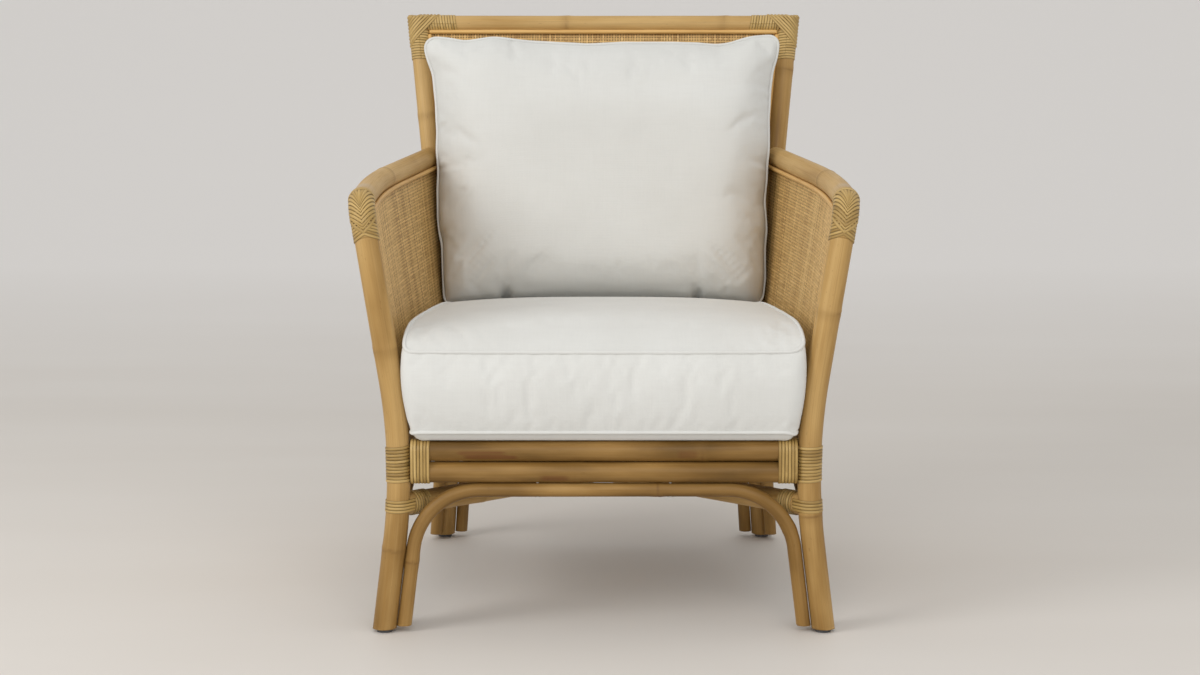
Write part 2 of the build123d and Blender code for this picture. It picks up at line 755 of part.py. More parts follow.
def cane_head(share):
    """A point of the side panel's upper edge, under the arm."""
    if share == 0:
        return elbow
    y = elbow.Y + (arm_back.Y - elbow.Y) * share
    return at_depth(arm_line, y)[0]


with BuildPart() as side_cane:
    for share in cane_shares:
        foot = cane_foot(share) - across * CANE_INSET
        head = cane_head(share) - across * CANE_INSET
        rise = (head - foot).normalized()
        thick = (across - rise * rise.dot(across)).normalized()
        station_plane = Plane(origin=(foot + head) / 2, x_dir=rise, z_dir=rise.cross(thick))
        with BuildSketch(station_plane):
            Rectangle((head - foot).length, CANE_T)
    loft()
    side_wrap_room = rod(side_up_front, side_up_back, SIDE_RAIL_D + 2 * lash_room)
    leg_low_room = rod(
        leg_lash_at[0] - leg_lash_at[1] * leg_lash_z,
        leg_lash_at[0] + leg_lash_at[1] * (STRAND_PITCH * (LEG_TURNS / 2 + 1)),
        LEG_D + 2 * lash_room,
    )
    elbow_room = rod(
        elbow_lash_at - leg_joint_way.normalized() * (STRAND_PITCH * (ELBOW_TURNS / 2 + 1)),
        elbow,
        LEG_D + 2 * lash_room,
    )
    for space in [leg_space, arm_space, post_space, side_wrap_room, leg_low_room, elbow_room, post_room]:
        add(space, mode=Mode.SUBTRACT)
save_pair(side_cane.part, "cane_side")

# Reed bead on the inside of the side panels, along the arm, the leg and the post
side_bead_over = CANE_INSET + CANE_T / 2 + FIT + bead_r
side_bead_off = math.sqrt((arm_r + FIT + bead_r) ** 2 - side_bead_over**2) + 2 * FIT
inside = across * -side_bead_over
cane_rises = [cane_head(share) - cane_foot(share) for share in cane_shares]
cane_lean = max(rise.X / rise.Z for rise in cane_rises)
arm_bead_over = side_bead_over + cane_lean * side_bead_off
arm_bead_off = math.sqrt((arm_r + FIT + bead_r) ** 2 - arm_bead_over**2) + 2 * FIT
arm_bead_shift = across * -arm_bead_over - up * arm_bead_off
arm_bead_points = [elbow + (arm_bow - elbow) * ARM_BEAD_START, arm_bow, arm_back]
arm_bead_line = route([point + arm_bead_shift for point in arm_bead_points], [ARM_BOW_R])
leg_bead_shift = inside - forward * side_bead_off
leg_bead_low = on_line(leg_waist, leg_top, side_up_z + side_rail_r + lash_room + BEAD_D + leg_r)
leg_bead_high = on_line(leg_waist, leg_top, ELBOW_LASH_Z - BEAD_D)
post_bead_shift = inside + back_forward * side_bead_off
post_bead_high = on_line(post_waist, post_top, ARM_BACK_Z - arm_r - 2 * BEAD_D)
post_bead_low = on_line(post_waist, post_top, BACK_RAIL_Z + leg_r)
post_bead_space = rod(side_bead_low, side_bead_top, BEAD_D + 2 * FIT)
side_beads = [
    largest(cut_from(tube(arm_bead_line, BEAD_D), [post_space, post_bead_space])),
    rod(leg_bead_low + leg_bead_shift, leg_bead_high + leg_bead_shift, BEAD_D),
    rod(post_bead_low + post_bead_shift, post_bead_high + post_bead_shift, BEAD_D),
]
save_group(side_beads, "side_bead_right")
save_group([flipped(bead) for bead in side_beads], "side_bead_left")

# Seat cushion: a boxed form on the sloping seat frame
seat_slope = (deck_back - deck_front).normalized()
seat_rise = Vector(0, seat_slope.Z * -1, seat_slope.Y)
seat_lift = rail_r + LASH_FIT + STRAND_D + SEAT_CLEAR
seat_base = Vector(0, front_up_at.Y, front_up_at.Z) + seat_rise * seat_lift
seat_low_front = seat_base + seat_slope * SEAT_FRONT_DEPTH
seat_low_back = seat_base + seat_slope * SEAT_BACK_DEPTH


def seat_station(share, inset):
    """A plane along the cushion at a share of its half width, and the cushion's length in it."""
    front_low = seat_low_front + across * ((SEAT_FRONT_HALF_W - inset) * share)
    back_low = seat_low_back + across * ((SEAT_BACK_HALF_W - inset) * share)
    lean = (seat_rise * SEAT_BOX_H + across * (SEAT_FLARE * share)).normalized()
    way = (back_low - front_low).normalized()
    return Plane(origin=front_low, x_dir=way, z_dir=way.cross(lean)), (back_low - front_low).length


def seat_top_points(near, far, high, crown):
    """Points of the swollen top from the back to the front, in a station's plane."""
    swell = [(near + (far - near) * along, high + crown * rise) for along, rise in SEAT_SWELL]
    return [(far, high)] + swell + [(near, high)]


def seat_form(inset):
    """The cushion's body, drawn in all round by an inset."""
    with BuildPart() as made:
        for share in CUSHION_SHARES:
            fullness = 1 - abs(share) ** SEAT_FULLNESS
            crown = SEAT_EDGE_CROWN + (SEAT_CROWN - SEAT_EDGE_CROWN) * fullness
            bulge = SEAT_SIDE_BULGE + (SEAT_BULGE - SEAT_SIDE_BULGE) * fullness
            station_plane, length = seat_station(share, inset)
            low = inset
            high = SEAT_BOX_H - inset
            near = inset
            far = length - inset
            with BuildSketch(station_plane):
                with BuildLine():
                    Line((near, low), (far, low))
                    ThreePointArc((far, low), (far + SEAT_SIDE_BULGE, (low + high) / 2), (far, high))
                    Spline(*seat_top_points(near, far, high, crown))
                    ThreePointArc((near, high), (near - bulge, (low + high) / 2), (near, low))
                make_face()
        loft()
    return made.part


def seat_lower_seam():
    """The lower seam line, level all round."""
    height = WELT_D / 2 + FIT
    rise = seat_rise * height
    flare = SEAT_FLARE * height / SEAT_BOX_H
    front_right = seat_low_front + rise + across * (SEAT_FRONT_HALF_W + flare)
    back_right = seat_low_back + rise + across * (SEAT_BACK_HALF_W + flare)
    plane = Plane(origin=seat_low_front + rise, x_dir=(1, 0, 0), z_dir=seat_rise)
    corners = [mirrored(front_right), front_right, back_right, mirrored(back_right)]
    with BuildSketch(plane) as outline:
        with BuildLine():
            Polyline(*[plane.to_local_coords(corner) for corner in corners], close=True)
        make_face()
        fillet(outline.vertices(), WELT_CORNER_R)
    return outline.sketch.face().outer_wire()


def seat_upper_seam():
    """The upper seam line: straight along the front and the back, risen over the sides."""
    plane, length = seat_station(1, 0)
    flat_points = seat_top_points(0, length, SEAT_BOX_H, SEAT_EDGE_CROWN)
    points = [plane.from_local_coords(Vector(along, rise, 0)) for along, rise in flat_points]
    back_corner = points[0]
    front_corner = points[-1]
    turn = WELT_CORNER_R / length
    with BuildLine() as seam:
        side = Spline(*points, mode=Mode.PRIVATE).trim(turn, 1 - turn)
        add(side)
        front_end = front_corner - across * WELT_CORNER_R
        back_end = back_corner - across * WELT_CORNER_R
        Line(Vector(0, front_end.Y, front_end.Z), front_end)
        Spline(front_end, side @ 1, tangents=(across, (side % 1) * -1))
        Spline(side @ 0, back_end, tangents=((side % 0) * -1, across * -1))
        Line(back_end, Vector(0, back_end.Y, back_end.Z))
        mirror(about=Plane.YZ)
    return seam.wire()


seat_seams = [seat_lower_seam(), seat_upper_seam()]
seat_welts = [tube(seam, WELT_D) for seam in seat_seams]
seat_grooves = [tube(seam, WELT_D + 2 * FIT) for seam in seat_seams]
save(cut_from(seat_form(0), [seat_form(COVER_T)] + seat_grooves), "seat_cushion_cover")
save(seat_form(COVER_T + FIT), "seat_cushion_foam")
save_group(seat_welts, "seat_cushion_welts")

# Back cushion: a knife-edged pillow leaning on the cane
back_rest = Vector(0, back_rail_at.Y, back_rail_at.Z)
seam_forward = BACK_CANE_FORWARD + CANE_T + BACK_REAR_GAP + BACK_REAR_BULGE
back_seam = back_rest + back_up * BACK_LIFT + back_forward * seam_forward


def back_edge_dip(share):
    """How far the top and bottom seams are drawn in between the corners."""
    return BACK_DIP * (1 - share**2)


def back_form(inset):
    """The pillow's body, drawn in all round by an inset."""
    with BuildPart() as made:
        for share in CUSHION_SHARES:
            fullness = (1 - share**BACK_FULLNESS) ** BACK_PUFF
            front_t = BACK_EDGE_T + (BACK_FRONT_BULGE - BACK_EDGE_T - inset) * fullness
            rear_t = BACK_EDGE_T + (BACK_REAR_BULGE - BACK_EDGE_T - inset) * fullness
            dip = back_edge_dip(share)
            place = back_seam + across * ((BACK_HALF_W - inset) * share)
            lean = (back_up * BACK_H + across * (BACK_FLARE * share)).normalized()
            low = dip / 2 + inset * 2
            high = BACK_H - dip - inset * 2
            front = [(front_t * bulge, low + (high - low) * along) for along, bulge in BACK_SWELL]
            rear = [(-rear_t * bulge, high - (high - low) * along) for along, bulge in BACK_SWELL]
            with BuildSketch(Plane(origin=place, x_dir=back_forward, z_dir=back_forward.cross(lean))):
                with BuildLine():
                    Spline((0, low), *front, (0, high))
                    Spline((0, high), *rear, (0, low))
                make_face()
        loft()
    return made.part


def back_welt_line():
    """The seam line round the pillow."""
    plane = Plane(origin=back_seam, x_dir=(1, 0, 0), z_dir=back_forward)
    top_half_w = BACK_HALF_W + BACK_FLARE
    with BuildSketch(plane) as outline:
        with BuildLine():
            Line((BACK_HALF_W, 0), (top_half_w, BACK_H))
            ThreePointArc((top_half_w, BACK_H), (0, BACK_H - BACK_DIP), (-top_half_w, BACK_H))
            Line((-top_half_w, BACK_H), (-BACK_HALF_W, 0))
            ThreePointArc((-BACK_HALF_W, 0), (0, BACK_DIP / 2), (BACK_HALF_W, 0))
        make_face()
        fillet(outline.vertices(), WELT_CORNER_R)
    return outline.sketch.face().outer_wire()


back_welt = tube(back_welt_line(), WELT_D)
back_groove = tube(back_welt_line(), WELT_D + 2 * FIT)
save(cut_from(back_form(0), [back_form(COVER_T), back_groove]), "back_cushion_cover")
save(back_form(COVER_T + FIT), "back_cushion_fill")
save(back_welt, "back_cushion_welt")
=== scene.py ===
import math
import bpy
import numpy as np
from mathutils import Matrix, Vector


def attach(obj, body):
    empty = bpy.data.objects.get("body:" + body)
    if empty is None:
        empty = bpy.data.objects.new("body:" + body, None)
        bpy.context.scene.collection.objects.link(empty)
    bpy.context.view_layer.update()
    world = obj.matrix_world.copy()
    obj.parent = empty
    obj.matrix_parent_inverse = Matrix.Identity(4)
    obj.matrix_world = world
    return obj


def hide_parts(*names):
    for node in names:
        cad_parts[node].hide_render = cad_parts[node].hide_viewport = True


# A rattan armchair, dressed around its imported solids. Lengths are in millimetres until a mesh is made.
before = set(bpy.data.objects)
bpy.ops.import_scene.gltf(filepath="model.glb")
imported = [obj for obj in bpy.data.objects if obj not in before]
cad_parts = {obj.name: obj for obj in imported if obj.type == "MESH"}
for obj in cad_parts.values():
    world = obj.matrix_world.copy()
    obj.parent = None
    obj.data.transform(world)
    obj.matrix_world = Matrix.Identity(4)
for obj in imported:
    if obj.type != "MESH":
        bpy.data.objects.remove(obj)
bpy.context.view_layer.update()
scene = bpy.context.scene

MM = 0.001
TURN = 2 * math.pi
SIDES = {"left": -1, "right": 1}
ACROSS = np.array([1.0, 0.0, 0.0])
FORWARD = np.array([0.0, -1.0, 0.0])
UP = np.array([0.0, 0.0, 1.0])
rng = np.random.default_rng(2024)

# The chair's main sizes, as in the part's source
FRONT_Y = -345.5
LEG_D, ARM_D, RAIL_D, SIDE_RAIL_D, BACK_RAIL_D = 33.0, 33.0, 30.0, 26.0, 26.0
TOP_RAIL_D, ARCH_D, STRETCHER_D, DECK_D, BEAD_D = 28.0, 20.0, 32.0, 20.0, 7.0
LEG_BEND_R, POST_BEND_R, ELBOW_BEND_R, ARM_BOW_R, ARCH_BEND_R = 820, 500, 34.0, 1500, 95.0
LEG_WAIST_Z, LEG_TOP_Z, ELBOW_Z, ARM_BACK_Z = 243, 556, 604, 628.5
POST_TOP_Z, TOP_RAIL_DOWN = 857.0, 13
FRONT_RAIL_Z, BACK_RAIL_Z, STRETCHER_Z = 258.0, 336.0, 180.5
SEAT_DROP = 20.0
FIT = 0.3
GLIDE_T = 5.0
ARCH_FOOT_Z = 9.0
CANE_INSET, CANE_T, BACK_CANE_FORWARD = 7.5, 1.6, 4.0


def unit(v):
    v = np.asarray(v, float)
    return v / np.linalg.norm(v)


def units(v):
    return v / np.linalg.norm(v, axis=-1, keepdims=True)


def at(x, depth, z):
    """A point given by its depth behind the front legs."""
    return np.array([x, FRONT_Y + depth, z], float)


def on_line(start, end, z):
    """The point of a straight line at a height."""
    return start + (end - start) * ((z - start[2]) / (end[2] - start[2]))


def on_side(points, sign):
    """Points of the right side, put on the side with this sign."""
    return np.asarray(points, float) * np.array([sign, 1.0, 1.0])


def mirrored(points):
    return on_side(points, -1)


def bell(x, width):
    return np.exp(-((x / width) ** 2))


def mixed_at(places, known, values):
    """Points between known ones, at places along them."""
    return np.stack([np.interp(places, known, values[:, k]) for k in range(values.shape[1])], -1)


def lengths_along(path):
    return np.r_[0, np.cumsum(np.linalg.norm(np.diff(path, axis=0), axis=1))]


def resampled(path, step):
    """The same line with evenly spaced points."""
    s = lengths_along(path)
    even = np.linspace(0, s[-1], max(2, int(round(s[-1] / step)) + 1))
    return mixed_at(even, s, path)


def route(corners, radii=(), step=3.0, arc_step=0.8):
    """Points along straight runs that are joined by tangent arcs."""
    corners = [np.asarray(c, float) for c in corners]
    path = [corners[0]]
    for before, corner, after, radius in zip(corners, corners[1:], corners[2:], radii):
        a, b = unit(before - corner), unit(after - corner)
        half = math.acos(float(np.clip(a @ b, -1, 1))) / 2
        centre = corner + unit(a + b) * (radius / math.sin(half))
        start = corner + a * (radius / math.tan(half)) - centre
        sweep = math.pi - 2 * half
        for angle in np.linspace(0, sweep, max(3, int(radius * sweep / arc_step))):
            path.append(centre + start * math.cos(angle) - a * radius * math.sin(angle))
    path.append(corners[-1])
    return resampled(np.array(path), step)


class Line:
    """A pole's centre line with a frame that is carried along it."""

    def __init__(self, path, first, diameter):
        self.path = path
        self.radius = diameter / 2
        self.s = lengths_along(path)
        self.t = units(np.gradient(path, axis=0))
        self.e1 = np.zeros_like(self.t)
        now = np.asarray(first, float)
        for i, t in enumerate(self.t):
            now = unit(now - t * (now @ t))
            self.e1[i] = now
        self.e2 = np.cross(self.t, self.e1)

    def centre(self, s):
        return mixed_at(s, self.s, self.path)

    def way(self, s):
        return units(mixed_at(s, self.s, self.t))

    def normal(self, s, angle):
        e1, e2 = mixed_at(s, self.s, self.e1), mixed_at(s, self.s, self.e2)
        return units(e1 * np.cos(angle)[..., None] + e2 * np.sin(angle)[..., None])

    def surface(self, s, angle, lift=0.0):
        return self.centre(s) + self.normal(s, angle) * (self.radius + np.asarray(lift))[..., None]

    def at_z(self, z):
        return float(np.interp(z, self.path[:, 2], self.s))

    def point_z(self, z):
        return self.centre(np.array([self.at_z(z)]))[0]

    def around(self, sides):
        """Length and angle of each point of a tube round the line."""
        return np.meshgrid(self.s, np.arange(sides) * TURN / sides, indexing="ij")


# Meshes


def make_mesh(name, verts, faces, attributes=None):
    """A mesh object from points in millimetres, with point attributes for its material."""
    mesh = bpy.data.meshes.new(name)
    mesh.from_pydata((np.asarray(verts, float) * MM).tolist(), [], [list(map(int, f)) for f in faces])
    for key, values in (attributes or {}).items():
        values = np.asarray(values, np.float32)
        kind, field = ("FLOAT_VECTOR", "vector") if values.ndim == 2 else ("FLOAT", "value")
        mesh.attributes.new(key, kind, "POINT").data.foreach_set(field, values.ravel())
    mesh.shade_smooth()
    mesh.validate()
    piece = bpy.data.objects.new(name, mesh)
    scene.collection.objects.link(piece)
    return piece


def dress(piece, body, slot, material, *stands_for):
    """Puts a piece on its body, with its material and the nodes it stands for; the slot is not used."""
    piece.data.materials.clear()
    piece.data.materials.append(material)
    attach(piece, body)
    if stands_for:
        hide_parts(*stands_for)


class Bundle:
    """Collects the points, faces and attributes of one piece."""

    def __init__(self):
        self.verts, self.faces, self.data, self.count = [], [], {}, 0

    def add(self, verts, faces, **attributes):
        verts = np.asarray(verts, float).reshape(-1, 3)
        self.faces.extend([tuple(i + self.count for i in f) for f in faces])
        self.verts.append(verts)
        self.count += len(verts)
        for key, values in attributes.items():
            self.data.setdefault(key, []).append(np.asarray(values, float))

    def piece(self, name):
        data = {key: np.concatenate(values) for key, values in self.data.items()}
        return make_mesh(name, np.concatenate(self.verts), self.faces, data)


def tube_faces(rings, sides, closed=False):
    """Quads between closed rings of points, with a cap on each end of an open tube."""
    faces = []
    for i in range(rings if closed else rings - 1):
        j = (i + 1) % rings
        for k in range(sides):
            n = (k + 1) % sides
            faces.append((i * sides + k, i * sides + n, j * sides + n, j * sides + k))
    if not closed:
        faces.append(tuple(reversed(range(sides))))
        faces.append(tuple(range((rings - 1) * sides, rings * sides)))
    return faces


def index_of(grid):
    """The numbers of a grid's points."""
    return np.arange(grid.shape[0] * grid.shape[1]).reshape(grid.shape[:2])


def grid_faces(index, flip=False):
    a, b, c, d = index[:-1, :-1], index[1:, :-1], index[1:, 1:], index[:-1, 1:]
    quads = np.stack([a, b, c, d], -1).reshape(-1, 4)
    return quads[:, ::-1] if flip else quads


def rim_of(index):
    """The border of a grid, from its first corner along its first axis and round."""
    return np.concatenate([index[:, 0], index[-1, 1:], index[-2::-1, -1], index[0, -2:0:-1]])


def loop_faces(low, high):
    return np.stack([low, np.roll(low, -1), np.roll(high, -1), high], -1)


# Materials


def shaded(colour, share):
    return tuple(c * share for c in colour)


class Look:
    """A material, with short names for the shader nodes that it is made of."""

    def __init__(self, name):
        self.material = bpy.data.materials.new(name)
        self.material.use_nodes = True
        self.tree = self.material.node_tree
        self.shader = self.tree.nodes["Principled BSDF"]

    def feed(self, socket, value):
        """Wires a socket to an output, or sets it to a number, a vector or a colour."""
        if isinstance(value, bpy.types.NodeSocket):
            self.tree.links.new(value, socket)
        else:
            socket.default_value = (*value, 1.0) if socket.type == "RGBA" else value

    def add(self, kind, output, inputs, **settings):
        """Adds a shader node and gives one of its outputs."""
        made = self.tree.nodes.new(kind)
        for key, value in settings.items():
            setattr(made, key, value)
        for key, value in inputs.items():
            self.feed(made.inputs[key], value)
        return made.outputs[output]

    def attribute(self, name, output="Fac"):
        return self.add("ShaderNodeAttribute", output, {}, attribute_name=name)

    def place(self):
        return self.add("ShaderNodeTexCoord", "Object", {})

    def noise(self, vector, scale, detail=3.0, roughness=0.5):
        """Noise of one scale, or stretched by three."""
        if not np.isscalar(scale):
            vector = self.add("ShaderNodeMapping", "Vector", {"Vector": vector, "Scale": scale})
            scale = 1.0
        inputs = {"Vector": vector, "Scale": scale, "Detail": detail, "Roughness": roughness}
        return self.add("ShaderNodeTexNoise", "Fac", inputs)

    def ramp(self, source, *stops):
        """A ramp of greys or colours; a stop is (place, grey or colour)."""
        made = self.tree.nodes.new("ShaderNodeValToRGB")
        elements = made.color_ramp.elements
        while len(elements) < len(stops):
            elements.new(0.5)
        for element, (place, value) in zip(elements, stops):
            element.position = place
            colour = (value,) * 3 if np.isscalar(value) else value
            element.color = (*colour, 1.0)
        self.feed(made.inputs["Fac"], source)
        return made.outputs["Color"]

    def maths(self, operation, first, second):
        return self.add("ShaderNodeMath", 0, {0: first, 1: second}, operation=operation)

    def times(self, first, second):
        return self.maths("MULTIPLY", first, second)

    def plus(self, first, second):
        return self.maths("ADD", first, second)

    def less(self, first, second):
        return self.maths("SUBTRACT", first, second)

    def mixed(self, share, first, second):
        """Two colours mixed; each is an output or a fixed colour."""
        return self.add("ShaderNodeMix", 2, {0: share, 6: first, 7: second}, data_type="RGBA")

    def tinted(self, colour, amount, share, tint):
        return self.mixed(self.times(amount, share), colour, tint)

    def bump(self, height, distance, strength):
        inputs = {"Height": height, "Distance": distance, "Strength": strength}
        self.feed(self.shader.inputs["Normal"], self.add("ShaderNodeBump", "Normal", inputs))

    def surface(self, colour, roughness, **more):
        """Wires or sets the shader's own inputs, with _ for a space, and gives the material."""
        self.feed(self.shader.inputs["Base Color"], colour)
        self.feed(self.shader.inputs["Roughness"], roughness)
        for key, value in more.items():
            self.feed(self.shader.inputs[key.replace("_", " ")], value)
        return self.material


NODE_RING = (0.11, 0.045, 0.015)
STAIN = (0.150, 0.056, 0.015)
# Pale patch on the arm behind the elbow: partly sanded wear, partly a painted highlight from above
SANDED_HIGHLIGHT = (0.50, 0.40, 0.29)


def rattan_material(name, pale, mid, dark, roughness):
    """Peeled rattan: long fibres, slow changes of tone, dark rings at the nodes, stains, and sanded places
    that also hold a painted highlight; the tone attribute also carries painted light and shade.
    """
    look = Look(name)
    grain = look.attribute("grain", "Vector")
    slow = look.noise(grain, (22, 22, 5))
    fibre = look.noise(grain, (760, 760, 9), 4.0, 0.65)
    streak = look.noise(grain, (150, 150, 3.2), 3.0, 0.6)
    fleck = look.noise(grain, (420, 420, 110), 2.0)
    tone = look.plus(slow, look.times(look.attribute("tone"), 0.35))
    deep = (dark[0] * 0.60, dark[1] * 0.56, dark[2] * 0.44)
    deepest = shaded(deep, 0.72)
    colour = look.ramp(tone, (0.0, deepest), (0.10, deep), (0.30, dark), (0.50, mid), (0.78, pale))
    streaks = look.ramp(streak, (0.30, 0.0), (0.75, 1.0))
    streaks = look.times(streaks, look.ramp(tone, (0.05, 0.10), (0.5, 0.42)))
    colour = look.mixed(streaks, colour, pale)
    lines = look.ramp(fibre, (0.33, 1.0), (0.55, 0.0))
    colour = look.tinted(colour, lines, 0.20, shaded(dark, 0.62))
    flecks = look.ramp(fleck, (0.69, 0.0), (0.76, 1.0))
    colour = look.tinted(colour, flecks, 0.35, shaded(dark, 0.5))
    ring = look.attribute("ring")
    colour = look.tinted(colour, ring, 0.52, NODE_RING)
    colour = look.tinted(colour, look.attribute("halo"), 0.25, shaded(dark, 0.8))
    uneven = look.times(look.less(streak, 0.5), 0.8)
    stain = look.ramp(look.plus(look.attribute("stain"), uneven), (0.28, 0.0), (0.66, 0.8))
    colour = look.mixed(stain, colour, STAIN)
    colour = look.tinted(colour, look.attribute("sanded"), 0.65, SANDED_HIGHLIGHT)
    look.bump(look.less(fibre, look.times(ring, 0.6)), 0.00035, 0.55)
    rough = look.ramp(fibre, (0.3, roughness + 0.10), (0.7, roughness - 0.04))
    return look.surface(colour, rough, Specular_IOR_Level=0.22, Coat_Weight=0.06, Coat_Roughness=0.28)


def strip_material(name, pale, mid, dark, roughness):
    """Split cane: shiny strips with fibres along them, with painted shade along their edges and where they
    pass under other strips.
    """
    look = Look(name)
    grain = look.attribute("grain", "Vector")
    fibre = look.noise(grain, (1500, 60, 16), 3.0, 0.6)
    slow = look.noise(grain, (90, 40, 22))
    tone = look.plus(slow, look.times(look.attribute("tone"), 0.5))
    colour = look.ramp(tone, (0.25, dark), (0.5, mid), (0.85, pale))
    lines = look.ramp(fibre, (0.34, 1.0), (0.52, 0.0))
    colour = look.tinted(colour, lines, 0.38, shaded(dark, 0.6))
    # Painted shade in the grooves between strips and where a strip passes under another
    edge = look.ramp(look.attribute("edge"), (0.50, 0.0), (1.0, 1.0))
    colour = look.tinted(colour, edge, 0.55, shaded(dark, 0.38))
    look.bump(fibre, 0.0002, 0.5)
    rough = look.ramp(fibre, (0.3, roughness + 0.12), (0.7, roughness))
    return look.surface(colour, rough, Specular_IOR_Level=0.45, Coat_Weight=0.10, Coat_Roughness=0.3)


def fabric_material(name, pale, deep):
    """Off-white plain-woven cloth with a fine weave, soft slubs and a little sheen."""
    look = Look(name)
    place = look.place()
    inputs = {"Vector": place, "Scale": 330.0, "Distortion": 0.9, "Detail": 1.0, "Detail Scale": 2.0}
    threads = [look.add("ShaderNodeTexWave", "Fac", inputs, bands_direction=axis) for axis in "XYZ"]
    woven = look.times(look.plus(threads[0], threads[1]), threads[2])
    slubs = look.plus(look.noise(place, (26, 26, 420)), look.noise(place, (420, 26, 26)))
    colour = look.ramp(look.noise(place, 9.0), (0.3, deep), (0.7, pale))
    mottle = look.ramp(look.times(slubs, 0.5), (0.36, 1.0), (0.56, 0.0))
    colour = look.tinted(colour, mottle, 0.10, shaded(deep, 0.82))
    look.bump(look.plus(look.times(woven, 0.45), look.times(slubs, 0.5)), 0.0004, 0.4)
    rough = look.ramp(slubs, (0.3, 0.92), (0.9, 0.82))
    return look.surface(colour, rough, Specular_IOR_Level=0.22, Sheen_Weight=0.18, Sheen_Roughness=0.5)


def plain_material(name, pale, dark, scale, roughness, metallic=0.0):
    """A plain solid with a little mottle and wear."""
    look = Look(name)
    mottle = look.noise(look.place(), scale, 4.0)
    look.bump(mottle, 0.0002, 0.3)
    colour = look.ramp(mottle, (0.3, dark), (0.7, pale))
    rough = look.ramp(mottle, (0.3, roughness + 0.1), (0.7, roughness))
    return look.surface(colour, rough, Metallic=metallic)


POLE = rattan_material("rattan_pole", (0.60, 0.40, 0.165), (0.45, 0.272, 0.091), (0.30, 0.163, 0.042), 0.46)
STRIP = strip_material("lashing_strip", (0.585, 0.40, 0.148), (0.46, 0.30, 0.095), (0.32, 0.195, 0.052), 0.40)
REED = strip_material("reed_bead", (0.82, 0.52, 0.19), (0.70, 0.42, 0.135), (0.52, 0.29, 0.08), 0.42)
CANE = strip_material("woven_cane", (0.90, 0.62, 0.255), (0.735, 0.472, 0.172), (0.48, 0.272, 0.085), 0.48)
# A near-black brown for the sheet behind the cane: painted shade in the weave's holes
SHADOW_LINING = plain_material("cane_shadow_lining", (0.075, 0.034, 0.012), (0.048, 0.021, 0.008), 180.0, 0.85)
FABRIC = fabric_material("cushion_fabric", (0.70, 0.705, 0.685), (0.665, 0.668, 0.646))
GLIDE = plain_material("glide_plastic", (0.10, 0.10, 0.105), (0.055, 0.055, 0.058), 260.0, 0.5)
STEEL = plain_material("screw_steel", (0.62, 0.62, 0.60), (0.45, 0.45, 0.44), 700.0, 0.32, 1.0)
DOWEL = plain_material("dowel_wood", (0.62, 0.46, 0.27), (0.50, 0.35, 0.19), 240.0, 0.6)

# Poles

POLE_SIDES = 30
FIRST_KNOT, KNOTS_APART, KNOT_FROM_END = (70, 210), (190, 330), 25
STAIN_SOFT, SANDED_HIGHLIGHT_SOFT = 14, 2.5
# A leg is darker below this height, fading over this length: painted shade near the floor
FOOT_SHADE_TOP, FOOT_SHADE_FADE = 250, 140


def knot_places(length, seed):
    """Places of a pole's nodes, a hand's length or more apart."""
    draw = np.random.default_rng(seed)
    places, s = [], draw.uniform(*FIRST_KNOT)
    while s < length - KNOT_FROM_END:
        places.append(s)
        s += draw.uniform(*KNOTS_APART)
    return places


